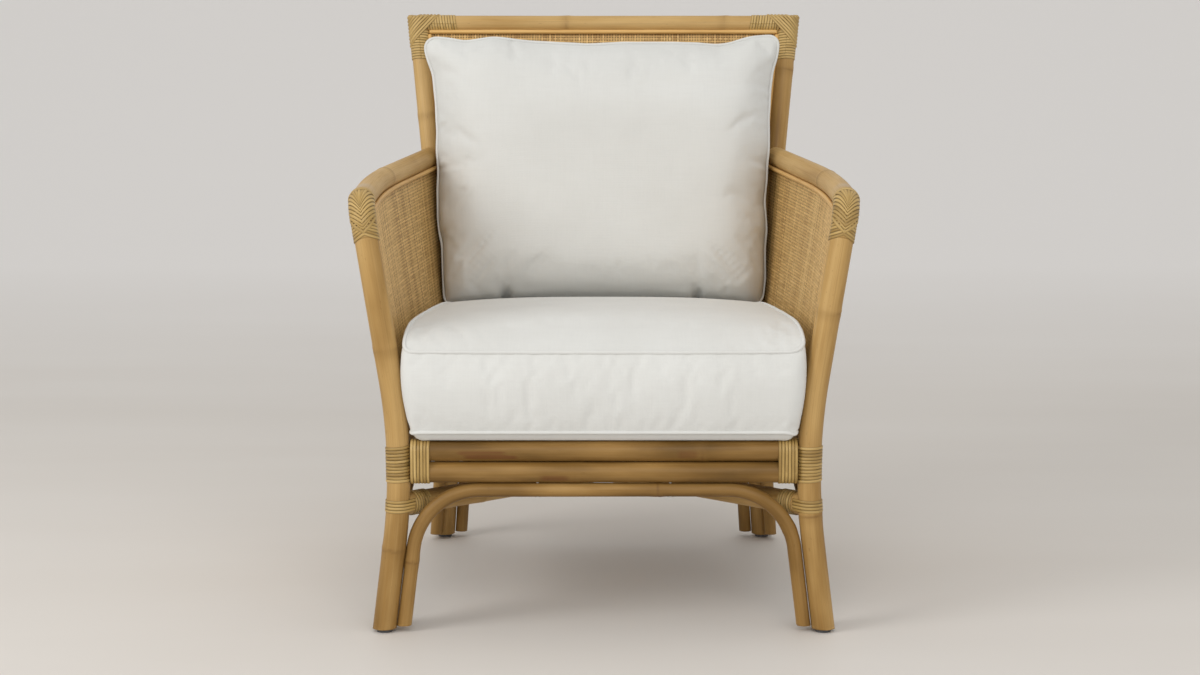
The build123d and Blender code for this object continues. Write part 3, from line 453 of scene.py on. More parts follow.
def pole(bundle, line, seed, knots=None, low_z=-math.inf, high_z=math.inf, marks=(), tone=0.0, foot_shade=0.0):
    """A swept rattan pole with swollen nodes, a slightly uneven girth and level sawn ends.

    marks are (kind, start, end, angle, spread, strength) patches for the material.
    """
    draw = np.random.default_rng(seed)
    s, theta = line.around(POLE_SIDES)
    phases = draw.uniform(0, TURN, 6)
    # Millimetres of slow waves and an oval section; each node adds a swelling, a groove and a shoulder
    girth = 0.10 * np.sin(s / 61 + phases[0]) + 0.12 * np.sin(s / 143 + phases[1])
    girth += 0.10 * np.sin(2 * theta + phases[2] + s / 300)
    ring = np.zeros_like(s)
    halo = np.zeros_like(s)
    for place in knot_places(line.s[-1], seed) if knots is None else knots:
        tilt = draw.uniform(0.4, 1.5)
        turn = draw.uniform(0, TURN)
        away = s - place - tilt * np.cos(theta - turn)
        away += 0.35 * np.sin(5 * theta + phases[3]) + 0.25 * np.sin(9 * theta + phases[4])
        girth += 0.55 * bell(away - 2.2, 5.5) - 0.35 * bell(away, 1.3) + 0.25 * bell(away + 4, 9)
        partial = 0.55 + 0.45 * np.cos(theta - turn + 0.8)
        ring = np.maximum(ring, bell(away, 1.5) * partial)
        halo = np.maximum(halo, bell(away + 3, 8.0))
    wave = 0.25 * np.sin(line.s / 97 + phases[5])
    verts = line.path[:, None] + (line.e1 * wave[:, None])[:, None]
    normal = line.e1[:, None] * np.cos(theta)[..., None] + line.e2[:, None] * np.sin(theta)[..., None]
    verts = verts + normal * (line.radius + girth)[..., None]
    verts[..., 2] = np.clip(verts[..., 2], low_z, high_z)
    grain = np.stack([np.cos(theta) * line.radius * MM, np.sin(theta) * line.radius * MM, s * MM], -1)
    grain += draw.uniform(-2, 2, 3)
    patches = {"stain": np.zeros_like(s), "sanded": np.zeros_like(s)}
    for kind, start, end, towards, spread, strength in marks:
        soft = STAIN_SOFT if kind == "stain" else (end - start) / SANDED_HIGHLIGHT_SOFT
        along = np.clip((s - start) / soft, 0, 1) * np.clip((end - s) / soft, 0, 1)
        around = bell(np.angle(np.exp(1j * (theta - towards))), spread)
        patches[kind] = np.maximum(patches[kind], along * around * strength)
    # The lower end of a leg is darkened: painted shade near the floor
    near_foot = np.clip((FOOT_SHADE_TOP - s.ravel()) / FOOT_SHADE_FADE, 0, 1)
    bundle.add(
        verts,
        tube_faces(len(line.s), POLE_SIDES),
        grain=grain.reshape(-1, 3),
        ring=ring.ravel(),
        halo=halo.ravel(),
        stain=patches["stain"].ravel(),
        sanded=patches["sanded"].ravel(),
        tone=tone + draw.uniform(-0.25, 0.25) + foot_shade * near_foot,
    )


def pole_piece(stands_for, line, seed, knots=None, **more):
    bundle = Bundle()
    pole(bundle, line, seed, knots, **more)
    dress(bundle.piece(f"pole_{stands_for}"), "frame", "rattan_pole", POLE, stands_for)


# Legs, posts and arms

LEG_FOOT, LEG_WAIST = at(308.6, 0, 0), at(277.7, 0, LEG_WAIST_Z)
LEG_RISE = np.array([0.157, 0, 1.0])


def upper_leg(z):
    """A point on the line of the leg above its waist."""
    return LEG_WAIST + LEG_RISE * (z - LEG_WAIST_Z)


def both_sides(path, diameter):
    """The lines of a pole on the left and on the right."""
    return {side: Line(on_side(path, sign), FORWARD, diameter) for side, sign in SIDES.items()}


LEG_TOP, ELBOW = upper_leg(LEG_TOP_Z), upper_leg(ELBOW_Z)
ARM_BOW = at(337, 242, 614)
POST_FOOT, POST_WAIST, POST_TOP = at(264, 607, 0), at(243, 547, 262), at(306, 702, POST_TOP_Z)
ARM_BACK = on_line(POST_WAIST, POST_TOP, ARM_BACK_Z)
TOP_RAIL_AT = on_line(POST_WAIST, POST_TOP, POST_TOP_Z - TOP_RAIL_DOWN)
BACK_UP = unit([0, POST_TOP[1] - POST_WAIST[1], POST_TOP[2] - POST_WAIST[2]])
BACK_FORWARD = np.array([0, -BACK_UP[2], BACK_UP[1]])
COPE_IN = 9
POST_OVER = 6

arm_end = ARM_BACK + unit(ARM_BOW - ARM_BACK) * COPE_IN
post_tip = on_line(POST_WAIST, POST_TOP, POST_TOP_Z + POST_OVER)
leg_lines = both_sides(route([LEG_FOOT, LEG_WAIST, LEG_TOP], [LEG_BEND_R]), LEG_D)
arm_lines = both_sides(route([LEG_TOP, ELBOW, ARM_BOW, arm_end], [ELBOW_BEND_R, ARM_BOW_R], 2.5), ARM_D)
post_lines = both_sides(route([POST_FOOT, POST_WAIST, post_tip], [POST_BEND_R]), LEG_D)
leg_at = leg_lines["right"].point_z
post_at = post_lines["right"].point_z

LEG_KNOTS = {"left": [118, 402], "right": [168, 455]}
POST_KNOTS = {"left": [150, 440, 713], "right": [210, 520, 790]}
ARM_KNOTS = {"left": [330], "right": [292]}
# The left post is paler, as painted light, and the right post darker, as painted shade from the pillow
POST_LIGHT_TONES = {"left": 0.2, "right": -0.25}
# How much darker the legs' feet are: painted shade near the floor
LEG_FOOT_SHADE = -0.65
# The pale patch on top of the arm behind the elbow: sanded wear with a painted highlight
SANDED_HIGHLIGHT_ELBOW = ("sanded", 66, 128, 0.0, 1.0, 0.9)
for side, seed in (("left", 11), ("right", 23)):
    leg_more = {"low_z": GLIDE_T, "foot_shade": LEG_FOOT_SHADE}
    pole_piece(f"front_leg_{side}", leg_lines[side], seed, LEG_KNOTS[side], **leg_more)
    post_more = {"low_z": GLIDE_T, "high_z": POST_TOP_Z, "tone": POST_LIGHT_TONES[side]}
    pole_piece(f"back_post_{side}", post_lines[side], seed + 1, POST_KNOTS[side], **post_more)
    pole_piece(f"arm_{side}", arm_lines[side], seed + 2, ARM_KNOTS[side], marks=[SANDED_HIGHLIGHT_ELBOW])

# Rails; their nodes and stains are placed from the middle

front_low_z = FRONT_RAIL_Z - RAIL_D - FIT
rear_up_z = FRONT_RAIL_Z - SEAT_DROP
rear_low_z = rear_up_z - RAIL_D - FIT
side_up_z = FRONT_RAIL_Z + RAIL_D / 2 - SIDE_RAIL_D / 2 - 2 * FIT
side_low_z = side_up_z - SIDE_RAIL_D - FIT
back_rail_at = post_at(BACK_RAIL_Z)
BUTT_IN = LEG_D / 2 + 1.0
# The rails under and behind the cushions take this darker tone: painted shade
SHADED_RAIL_TONE = -1.2
UPPER_STAINS = [(-212, -128, 0.10, 0.18, 0.75), (-202, -112, 0.52, 0.20, 1.0), (92, 140, 0.3, 0.6, 0.55)]
LOWER_STAINS = [(-97, -40, 0.5, 0.5, 0.55)]
rails = {
    # The front rails' tones darken them, partly as their own darker colour and partly as painted shade under
    # the seat cushion's edge
    "front_rail_upper": (leg_at(FRONT_RAIL_Z), RAIL_D, BUTT_IN, -0.8, [136], UPPER_STAINS),
    "front_rail_lower": (leg_at(front_low_z), RAIL_D, BUTT_IN, -1.4, [-39], LOWER_STAINS),
    "rear_rail_upper": (post_at(rear_up_z), RAIL_D, BUTT_IN, SHADED_RAIL_TONE, [-150, 90], []),
    "rear_rail_lower": (post_at(rear_low_z), RAIL_D, BUTT_IN, SHADED_RAIL_TONE, [-40, 170], []),
    "top_rail": (TOP_RAIL_AT, TOP_RAIL_D, COPE_IN, 0.3, [-60, 200], []),
    "back_lower_rail": (back_rail_at, BACK_RAIL_D, COPE_IN, SHADED_RAIL_TONE, [-110, 120], []),
}
for seed, (name, (joint, diameter, inset, tone, knots, stains)) in enumerate(rails.items(), 40):
    end = joint - ACROSS * inset
    line = Line(route([mirrored(end), end]), FORWARD, diameter)
    half = line.s[-1] / 2
    marks = [("stain", low + half, high + half, *rest) for low, high, *rest in stains]
    pole_piece(name, line, seed, [x + half for x in knots], marks=marks, tone=tone)

side_rail_lines = {}
for side, seeds in (("right", (324, 298)), ("left", (334, 308))):
    for level, z, seed in zip(("upper", "lower"), (side_up_z, side_low_z), seeds):
        ends = on_side([leg_at(z), post_at(z - SEAT_DROP)], SIDES[side])
        side_rail_lines[level, side] = Line(route(ends), UP, SIDE_RAIL_D)
        pole_piece(f"side_rail_{level}_{side}", side_rail_lines[level, side], seed)

# Arches

ARCH_TONE = -0.9
ARCH_OVERRUN = 5
SIDE_ARCH_GAP, SIDE_ARCH_OUT = 1.5, 13.0
arch_beside = LEG_D / 2 + ARCH_D / 2 + 2 * FIT
front_arch_z = front_low_z - RAIL_D / 2 - FIT - ARCH_D / 2
rear_arch_z = rear_low_z - RAIL_D / 2 - FIT - ARCH_D / 2
side_arch_z = side_low_z - SIDE_RAIL_D / 2 - SIDE_ARCH_GAP - ARCH_D / 2
foot_below = ARCH_FOOT_Z - ARCH_OVERRUN


def lower_leg(z):
    return on_line(LEG_FOOT, LEG_WAIST, z)


def lower_post(z):
    return on_line(POST_FOOT, POST_WAIST, z)


def arch_piece(name, corners, seed, knots=None):
    line = Line(route(corners, [ARCH_BEND_R, ARCH_BEND_R]), FORWARD, ARCH_D)
    pole_piece(name, line, seed, knots, low_z=ARCH_FOOT_Z, tone=ARCH_TONE)


aside = ACROSS * arch_beside
foot, corner = lower_leg(foot_below) - aside, lower_leg(front_arch_z) - aside
arch_piece("front_arch", [mirrored(foot), mirrored(corner), corner, foot], 81, [96, 500, 705])
foot, corner = lower_post(foot_below) - aside, lower_post(rear_arch_z) - aside
corner = np.array([corner[0], post_at(rear_low_z)[1], rear_arch_z])
arch_piece("rear_arch", [mirrored(foot), mirrored(corner), corner, foot], 82)
side_shift = np.array([SIDE_ARCH_OUT, -math.sqrt(arch_beside**2 - SIDE_ARCH_OUT**2), 0])
side_arch = [
    lower_leg(foot_below) - FORWARD * arch_beside,
    lower_leg(side_arch_z) - FORWARD * arch_beside,
    lower_post(side_arch_z - SEAT_DROP) + side_shift,
    lower_post(foot_below) + side_shift,
]
arch_piece("side_arch_right", side_arch, 83)
arch_piece("side_arch_left", mirrored(side_arch), 84)

# Stretchers and deck

stretcher_ends = [leg_at(STRETCHER_Z), mirrored(post_at(STRETCHER_Z - SEAT_DROP))]
stretcher_lines = {}
for side, seed in (("right", 85), ("left", 86)):
    stretcher_lines[side] = Line(route(on_side(stretcher_ends, SIDES[side])), UP, STRETCHER_D)
    pole_piece(f"stretcher_{side}", stretcher_lines[side], seed)

DECK_POLES, DECK_APART, DECK_END_IN, DECK_RISE = 7, 62.0, 8, 3
deck = Bundle()
for index in range(DECK_POLES):
    x = DECK_APART * (index - DECK_POLES // 2)
    front = np.array([x, leg_at(FRONT_RAIL_Z)[1] + DECK_END_IN, FRONT_RAIL_Z + DECK_RISE])
    rear = np.array([x, post_at(rear_up_z)[1] - DECK_END_IN, rear_up_z + DECK_RISE])
    pole(deck, Line(route([front, rear]), UP, DECK_D), 90 + index)
dress(deck.piece("pole_deck"), "frame", "rattan_pole", POLE, "deck_poles")

# The glides, screws and dowels keep their solids' meshes

KEPT = {"floor_glides": GLIDE, "arm_screws": STEEL, "arch_screws": STEEL, "joint_dowels": DOWEL}
for name, material in KEPT.items():
    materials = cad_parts[name].data.materials
    materials.clear()
    materials.append(material)

# Lashings of flat split cane

STRIP_T = 1.25
STRIP_PROFILE = np.array(
    [(-0.5, -0.25), (-0.5, 0.35), (-0.36, 0.82), (0.0, 1.0), (0.36, 0.82), (0.5, 0.35), (0.5, -0.25)]
)
PITCH = 4.5
TURN_GAP, TURN_OVERLAP, TURN_WOBBLE, TURN_LIFTS = 0.28, 0.01, 0.18, 0.22
BAND_GAP, BAND_WOBBLE, PAIR_LIFTS, ROOT_LIFTS = 0.3, 0.15, 0.3, 0.25
STRIP_LIFT, STRIP_TONES, GRAIN_SHIFT = 0.1, 0.45, 3
POINTS_PER_TURN = 44
CIRCLE = np.stack([np.cos(np.linspace(0, TURN, 73)), np.sin(np.linspace(0, TURN, 73))], 1)


def strip(bundle, points, normals, widths, lift, thick=STRIP_T, closed=False, tone=0.0):
    """One flat strip along a line on a surface."""
    n, sides = len(points), len(STRIP_PROFILE)
    if closed:
        ways = units(np.roll(points, -1, 0) - np.roll(points, 1, 0))
    else:
        ways = units(np.gradient(points, axis=0))
    beside = units(np.cross(ways, normals))
    out = np.broadcast_to(lift, (n,))[:, None] + STRIP_PROFILE[:, 1] * thick
    side = STRIP_PROFILE[:, 0] * np.broadcast_to(widths, (n,))[:, None]
    verts = points[:, None] + normals[:, None] * out[..., None] + beside[:, None] * side[..., None]
    along = np.repeat(lengths_along(points)[:, None], sides, 1)
    shift = rng.uniform(-GRAIN_SHIFT, GRAIN_SHIFT)
    grain = np.stack([side * MM, np.full_like(side, shift), along * MM + shift], -1)
    bundle.add(
        verts,
        tube_faces(n, sides, closed),
        grain=grain.reshape(-1, 3),
        # The strip's sides are darkened: painted shade in the grooves
        edge=np.tile(np.abs(STRIP_PROFILE[:, 0]) * 2, n),
        tone=np.full(n * sides, tone + rng.uniform(-STRIP_TONES, STRIP_TONES)),
    )


def strip_on(bundle, line, s, angle, widths, lift, *more, **named):
    """One flat strip that lies on a pole."""
    strip(bundle, line.surface(s, angle), line.normal(s, angle), widths, lift, *more, **named)


def turns_on(bundle, line, middle, turns, start_angle, pitch=PITCH):
    """Close turns of one strip round a pole, drawn as one strip for each turn so that tones differ."""
    first = middle - pitch * turns / 2
    for turn in range(turns):
        u = np.linspace(0, 1, POINTS_PER_TURN + 1) * (1 + 2 * TURN_OVERLAP) - TURN_OVERLAP
        s = first + pitch * (turn + u) + TURN_WOBBLE * np.sin(TURN * u + rng.uniform(0, TURN))
        widths = (pitch - TURN_GAP) * (1 + rng.uniform(-0.04, 0.02))
        lift = STRIP_LIFT + rng.uniform(0, TURN_LIFTS)
        strip_on(bundle, line, s, start_angle + TURN * u, widths, lift)


def convex(points):
    """The outline of a set of points in a plane, anticlockwise."""
    points = sorted(map(tuple, points))
    halves = []
    for run in (points, points[::-1]):
        half = []
        for p in run:
            while len(half) > 1:
                (ax, ay), (bx, by) = half[-2], half[-1]
                if (bx - ax) * (p[1] - ay) - (by - ay) * (p[0] - ax) > 1e-9:
                    break
                half.pop()
            half.append(p)
        halves.append(half[:-1])
    return np.array(halves[0] + halves[1])


def belt(points, step=2.2):
    """A taut closed band round points in a plane: evenly spaced points and outward normals."""
    outline = convex(points)
    outline = np.vstack([outline, outline[:1]])
    s = lengths_along(outline)
    ring = mixed_at(np.linspace(0, s[-1], int(s[-1] / step) + 1)[:-1], s, outline)
    way = np.roll(ring, -1, 0) - np.roll(ring, 1, 0)
    return ring, units(np.stack([way[:, 1], -way[:, 0]], 1))


def in_space(flat, across, up):
    """Directions in a plane, put in space."""
    return across * flat[:, :1] + up * flat[:, 1:]


def pair_turns(bundle, upper, lower, axis, first, turns, diameter):
    """Turns round two stacked rails, from a first place along the axis."""
    axis = unit(axis)
    rise = upper - lower
    rise = unit(rise - axis * (rise @ axis))
    out = np.cross(axis, rise)
    half = np.linalg.norm(upper - lower) / 2
    circle = CIRCLE * diameter / 2
    ring, normal = belt(np.vstack([circle + [0, half], circle - [0, half]]))
    for turn in range(turns):
        wave = np.sin(np.linspace(0, TURN, len(ring)) + rng.uniform(0, TURN))
        along = first + PITCH * turn + BAND_WOBBLE * wave
        points = (upper + lower) / 2 + in_space(ring, out, rise) + axis * along[:, None]
        lift = STRIP_LIFT + rng.uniform(0, PAIR_LIFTS)
        strip(bundle, points, in_space(normal, out, rise), PITCH - BAND_GAP, lift, closed=True)


ROOT_REACH = 19.0


def root_turns(bundle, upright, rail, end, turns):
    """Level turns round a leg and the root of the stretcher that meets it there."""
    way = rail.t[end] * (1 if end == 0 else -1)
    way = unit(way * np.array([1, 1, 0]))
    aside = np.cross(UP, way)
    for turn in range(turns):
        rise = PITCH * (turn - (turns - 1) / 2)
        middle = upright.point_z(rail.path[end][2] + rise)
        half = math.sqrt(rail.radius**2 - rise**2)
        ring, normal = belt(np.vstack([CIRCLE * upright.radius, [(ROOT_REACH, half), (ROOT_REACH, -half)]]))
        points = middle + in_space(ring, way, aside)
        lift = STRIP_LIFT + rng.uniform(0, ROOT_LIFTS)
        strip(bundle, points, in_space(normal, way, aside), PITCH - BAND_GAP, lift, closed=True)


def lashing(name, stands_for, wind, *values):
    """A piece of lashing, wound by a function that is called with the values."""
    bundle = Bundle()
    wind(bundle, *values)
    dress(bundle.piece(name), "frame", "lashing", STRIP, stands_for)


UPRIGHT_TURNS, LEG_PITCH, LEG_LASH_DOWN = 11, 4.6, 3
ROOT_TURNS, RAIL_TURNS, SIDE_RAIL_TURNS = 4, 6, 4
RAIL_LASH_IN, SIDE_LASH_IN, STRETCHER_LASH_IN = 3.0, 1.6, 5
leg_lash_z = (FRONT_RAIL_Z + front_low_z) / 2 - LEG_LASH_DOWN
post_lash_z = (rear_up_z + rear_low_z) / 2
rail_first = LEG_D / 2 + RAIL_LASH_IN
side_rail_first = LEG_D / 2 + SIDE_LASH_IN + PITCH
stretcher_lash_at = LEG_D / 2 + STRETCHER_LASH_IN + PITCH * RAIL_TURNS / 2
front_pair = [leg_at(FRONT_RAIL_Z), leg_at(front_low_z)]
rear_pair = [post_at(rear_up_z), post_at(rear_low_z)]
rear_low = Bundle()
side_rails = Bundle()
for side, sign in SIDES.items():
    leg, post, stretcher = leg_lines[side], post_lines[side], stretcher_lines[side]
    far_post = post_lines["left" if side == "right" else "right"]
    inward = ACROSS * -sign
    turns = (turns_on, leg, leg.at_z(leg_lash_z), UPRIGHT_TURNS, math.pi, LEG_PITCH)
    lashing(f"lashing_front_leg_{side}", f"front_leg_binding_{side}", *turns)
    turns = (turns_on, post, post.at_z(post_lash_z), UPRIGHT_TURNS, 0.0)
    lashing(f"lashing_back_post_{side}", f"back_post_binding_{side}", *turns)
    turns = (root_turns, leg, stretcher, 0, ROOT_TURNS)
    lashing(f"lashing_low_leg_{side}", f"stretcher_leg_binding_{side}", *turns)
    turns = (turns_on, stretcher, stretcher_lash_at, RAIL_TURNS, 1.0)
    lashing(f"lashing_stretcher_end_{side}", f"stretcher_end_binding_{side}", *turns)
    turns_on(rear_low, stretcher, stretcher.s[-1] - stretcher_lash_at, RAIL_TURNS, 1.0)
    root_turns(rear_low, far_post, stretcher, -1, ROOT_TURNS)
    turns = (pair_turns, *on_side(front_pair, sign), inward, rail_first, RAIL_TURNS, RAIL_D)
    lashing(f"lashing_front_rail_{side}", f"front_rail_binding_{side}", *turns)
    turns = (pair_turns, *on_side(rear_pair, sign), inward, rail_first, RAIL_TURNS, RAIL_D)
    lashing(f"lashing_rear_rail_{side}", f"rear_rail_binding_{side}", *turns)
    upper, lower = side_rail_lines["upper", side].path, side_rail_lines["lower", side].path
    for near, far in ((0, -1), (-1, 0)):
        axis = upper[far] - upper[near]
        pair_turns(side_rails, upper[near], lower[near], axis, side_rail_first, SIDE_RAIL_TURNS, SIDE_RAIL_D)
dress(rear_low.piece("lashing_rear_stretchers"), "frame", "lashing", STRIP, "rear_stretcher_bindings")
dress(side_rails.piece("lashing_side_rails"), "frame", "lashing", STRIP, "side_rail_bindings")

# Elbows: turns that fall to both sides, over them strips that meet in points down the front, and a collar

ELBOW_START_Z = 500
BASE_LOW_Z, BASE_TURNS, BASE_FALL, BASE_GAP = 562.0, 7, 15.0, 0.35
POINT_LOW_Z = 564.0
POINTS = [0, 5, 10, 15, 20, 25, 29.5, 33.5, 37, 40, 42.5, 44.5, 46]
SLOPES = [40, 40, 42, 45, 48, 52, 57, 62, 68, 74, 80, 84, 86]
POINT_WIDTHS, POINT_LIFT, POINT_T = (1.4, 5.2), 0.95, 1.1
MIDDLE_WIDTH, MIDDLE_LIFT, MIDDLE_T = 3.4, 0.9, 1.0
COLLAR_BEND, COLLAR_PITCH, COLLAR_WIDTH, COLLAR_T, COLLAR_TONE = 1.30, 4.4, 4.8, 1.2, 0.2
COLLAR_LIFTS = (1.25, 0.5)


def elbow_turns(bundle, sign):
    """All the strips of one elbow."""
    corners = on_side([upper_leg(ELBOW_START_Z), ELBOW, ARM_BOW], sign)
    line = Line(route(corners, [ELBOW_BEND_R], 1.0), FORWARD, ARM_D)
    angle = np.linspace(-math.pi, math.pi, 121)
    share = 1 - ((math.pi - np.abs(angle)) / math.pi) ** 2
    for turn in range(BASE_TURNS):
        s = line.at_z(BASE_LOW_Z) + PITCH * turn - BASE_FALL * share
        strip_on(bundle, line, s, angle, PITCH - BASE_GAP, STRIP_LIFT + rng.uniform(0, 0.2))
    start = line.at_z(POINT_LOW_Z)
    straight = line.at_z(ELBOW_Z - ELBOW_BEND_R) - start
    stretch = (ELBOW_BEND_R + line.radius) / ELBOW_BEND_R
    border = start + straight + ELBOW_BEND_R * COLLAR_BEND
    paths = []
    for front, slope in zip(POINTS, SLOPES):
        bent = max(0.0, front - straight)
        point = start + min(front, straight) + bent / stretch
        reach = math.tan(math.radians(slope)) * line.radius * math.pi / 2 / (1.0 if bent == 0 else stretch)
        s = point + reach * share
        paths.append((s, line.surface(s, angle), line.normal(s, angle)))
    for k, (s, points, normals) in enumerate(paths[:-1]):
        to_next = paths[k + 1][1] - points
        ways = units(np.gradient(points, axis=0))
        gap = np.linalg.norm(to_next - ways * np.sum(to_next * ways, 1)[:, None], axis=1)
        shown = s <= border
        widths = np.clip(gap, *POINT_WIDTHS)[shown] * 0.96
        strip(bundle, points[shown], normals[shown], widths, POINT_LIFT + 0.14 * (k % 2), POINT_T)
    s = np.linspace(paths[-1][0].min(), border, 12)
    strip_on(bundle, line, s, np.zeros(len(s)), MIDDLE_WIDTH, MIDDLE_LIFT, MIDDLE_T)
    for turn, lift in enumerate(COLLAR_LIFTS):
        s = np.full(len(angle), border + COLLAR_PITCH * turn)
        strip_on(bundle, line, s, angle, COLLAR_WIDTH, lift, COLLAR_T, tone=COLLAR_TONE)


for side, sign in SIDES.items():
    lashing(f"lashing_elbow_{side}", f"elbow_binding_{side}", elbow_turns, sign)

# Top corners: turns on the rail and the post, and strips that cross the corner on the slant

CORNER_TURNS, CORNER_LEAN, CORNER_GAP, CORNER_TONE = 11, 2.6, 0.25, 0.6
CORNER_RAIL_SPAN, CORNER_RAIL_LAST, CORNER_POST_FIRST = (12, 90), 48, 60
SLANT_ALONG, SLANT_DOWN = 0.754, 0.656
SLANT_PLACES = np.arange(-19.5, 16.0, 4.35)
SLANT_WIDTH, SLANT_LIFT, SLANT_T = 4.1, 1.2, 1.1
BAND_POINTS = 6


def corner_cloud(corner, sign, post_way, middle, inward, slant):
    """Points of the post and the rail in a slanting plane through the corner."""
    cloud = []
    for axis, diameter, is_post in ((post_way, LEG_D, True), (ACROSS, TOP_RAIL_D, False)):
        beside = unit(np.cross(axis, BACK_FORWARD))
        for c, w in CIRCLE * (diameter / 2):
            p = corner + BACK_FORWARD * c + beside * w
            p = p + axis * (((middle - p) @ inward) / (axis @ inward))
            beyond = p[2] > POST_TOP_Z if is_post else (p[0] - corner[0]) * sign > 0
            if not beyond:
                cloud.append(((p - middle) @ slant, (p - middle) @ BACK_FORWARD))
    return cloud


def corner_turns(bundle, sign, post):
    """All the strips of one top corner."""
    corner = on_side(TOP_RAIL_AT, sign)
    rail = Line(route([corner - ACROSS * sign * x for x in CORNER_RAIL_SPAN], [], 2.0), FORWARD, TOP_RAIL_D)
    angle = np.linspace(0, TURN, POINTS_PER_TURN + 1)
    post_s = post.at_z(corner[2])
    rail_lean = -CORNER_LEAN * np.cos(angle - math.pi / 2 * sign)
    post_lean = CORNER_LEAN * np.sin(angle) * sign
    runs = ((rail, CORNER_RAIL_LAST, -PITCH, rail_lean), (post, post_s - CORNER_POST_FIRST, PITCH, post_lean))
    for line, first, pitch, lean in runs:
        for turn in range(CORNER_TURNS):
            lift = STRIP_LIFT + 0.1 * rng.uniform()
            s = first + pitch * turn + lean
            strip_on(bundle, line, s, angle, PITCH - CORNER_GAP, lift, tone=CORNER_TONE)
    inward = unit(-ACROSS * sign * SLANT_ALONG - BACK_UP * SLANT_DOWN)
    slant = unit(-ACROSS * sign * SLANT_DOWN + BACK_UP * SLANT_ALONG)
    post_way = unit(post.way(np.array([post_s]))[0])
    for place in SLANT_PLACES:
        middle = corner + inward * place
        cloud = corner_cloud(corner, sign, post_way, middle, inward, slant)
        if len(cloud) < BAND_POINTS:
            continue
        ring, normal = belt(cloud, 1.8)
        points = middle + in_space(ring, slant, BACK_FORWARD)
        lift = SLANT_LIFT + rng.uniform(0, 0.25)
        normals = in_space(normal, slant, BACK_FORWARD)
        strip(bundle, points, normals, SLANT_WIDTH, lift, SLANT_T, closed=True, tone=CORNER_TONE)


for side, sign in SIDES.items():
    lashing(f"lashing_top_corner_{side}", f"top_corner_binding_{side}", corner_turns, sign, post_lines[side])

# Reed bead

BEAD_SIDES = 14
bead_r = BEAD_D / 2


def bead(bundle, corners, radii, first, seed):
    """A round reed with fibres along it."""
    line = Line(route(corners, radii), first, BEAD_D)
    draw = np.random.default_rng(seed)
    s, theta = line.around(BEAD_SIDES)
    girth = 0.12 * np.sin(s / 23 + draw.uniform(0, TURN)) + 0.08 * np.sin(s / 7 + draw.uniform(0, TURN))
    shift = draw.uniform(-GRAIN_SHIFT, GRAIN_SHIFT)
    grain = np.stack([theta * bead_r * MM, np.full_like(s, shift), s * MM * 0.4], -1)
    bundle.add(
        line.surface(s, theta, girth),
        tube_faces(len(line.s), BEAD_SIDES),
        grain=grain.reshape(-1, 3),
        edge=np.zeros(s.size),
        tone=np.full(s.size, draw.uniform(-0.2, 0.2)),
    )


bead_forward = BACK_CANE_FORWARD + CANE_T + FIT + bead_r


def bead_beside(diameter):
    return math.sqrt(max((diameter / 2 + FIT + bead_r) ** 2 - bead_forward**2, 0))


BEAD_TOP_SHORT, BEAD_LOW_SHORT = 5, 8
made = Bundle()
lift = BACK_FORWARD * bead_forward
top_bead = TOP_RAIL_AT - BACK_UP * bead_beside(TOP_RAIL_D) + lift
low_bead = back_rail_at + BACK_UP * bead_beside(BACK_RAIL_D) + lift
for seed, joint in enumerate((top_bead, low_bead), 1):
    end = joint - ACROSS * BUTT_IN
    bead(made, [mirrored(end), end], (), UP, seed)
side_in = ACROSS * bead_beside(LEG_D)
ends = [low_bead - side_in + BACK_UP * BEAD_LOW_SHORT, top_bead - side_in - BACK_UP * BEAD_TOP_SHORT]
for seed, sign in enumerate(SIDES.values(), 3):
    bead(made, on_side(ends, sign), (), ACROSS, seed)
dress(made.piece("bead_back"), "frame", "reed_bead", REED, "back_bead")

BEAD_FRONT_SHARE, BEAD_BACK_SHORT = 0.10, 16
LEG_BEAD_Z, POST_BEAD_Z = (300, 572), (BACK_RAIL_Z + 16, 600)
bead_reach = ARM_D / 2 + FIT + bead_r
side_bead_over = CANE_INSET + CANE_T / 2 + FIT + bead_r
side_bead_off = math.sqrt(bead_reach**2 - side_bead_over**2) + 2 * FIT
side_foot = [leg_at(side_up_z), post_at(side_up_z - SEAT_DROP)]
side_runs = ((ELBOW, side_foot[0]), (ARM_BOW, sum(side_foot) / 2), (ARM_BACK, side_foot[1]))
lean = max((head[0] - foot[0]) / (head[2] - foot[2]) for head, foot in side_runs)
arm_bead_over = side_bead_over + lean * side_bead_off
arm_bead_off = math.sqrt(bead_reach**2 - arm_bead_over**2) + 2 * FIT
arm_shift = -ACROSS * arm_bead_over - UP * arm_bead_off
leg_shift = -ACROSS * side_bead_over - FORWARD * side_bead_off
post_shift = -ACROSS * side_bead_over + BACK_FORWARD * side_bead_off
bead_start = ELBOW + (ARM_BOW - ELBOW) * BEAD_FRONT_SHARE
bead_end = ARM_BACK + unit(ARM_BOW - ARM_BACK) * BEAD_BACK_SHORT
arm_bead = [p + arm_shift for p in (bead_start, ARM_BOW, bead_end)]
leg_bead = [on_line(LEG_WAIST, LEG_TOP, z) + leg_shift for z in LEG_BEAD_Z]
post_bead = [on_line(POST_WAIST, POST_TOP, z) + post_shift for z in POST_BEAD_Z]
for (side, sign), seed in zip(SIDES.items(), (5, 8)):
    made = Bundle()
    bead(made, on_side(arm_bead, sign), [ARM_BOW_R], UP, seed)
    bead(made, on_side(leg_bead, sign), (), ACROSS, seed + 1)
    bead(made, on_side(post_bead, sign), (), ACROSS, seed + 2)
    dress(made.piece(f"bead_side_{side}"), "frame", "reed_bead", REED, f"side_bead_{side}")

# Woven cane: flat strips over and under each other on both faces of a dark sheet, which is painted shade seen
# through the holes

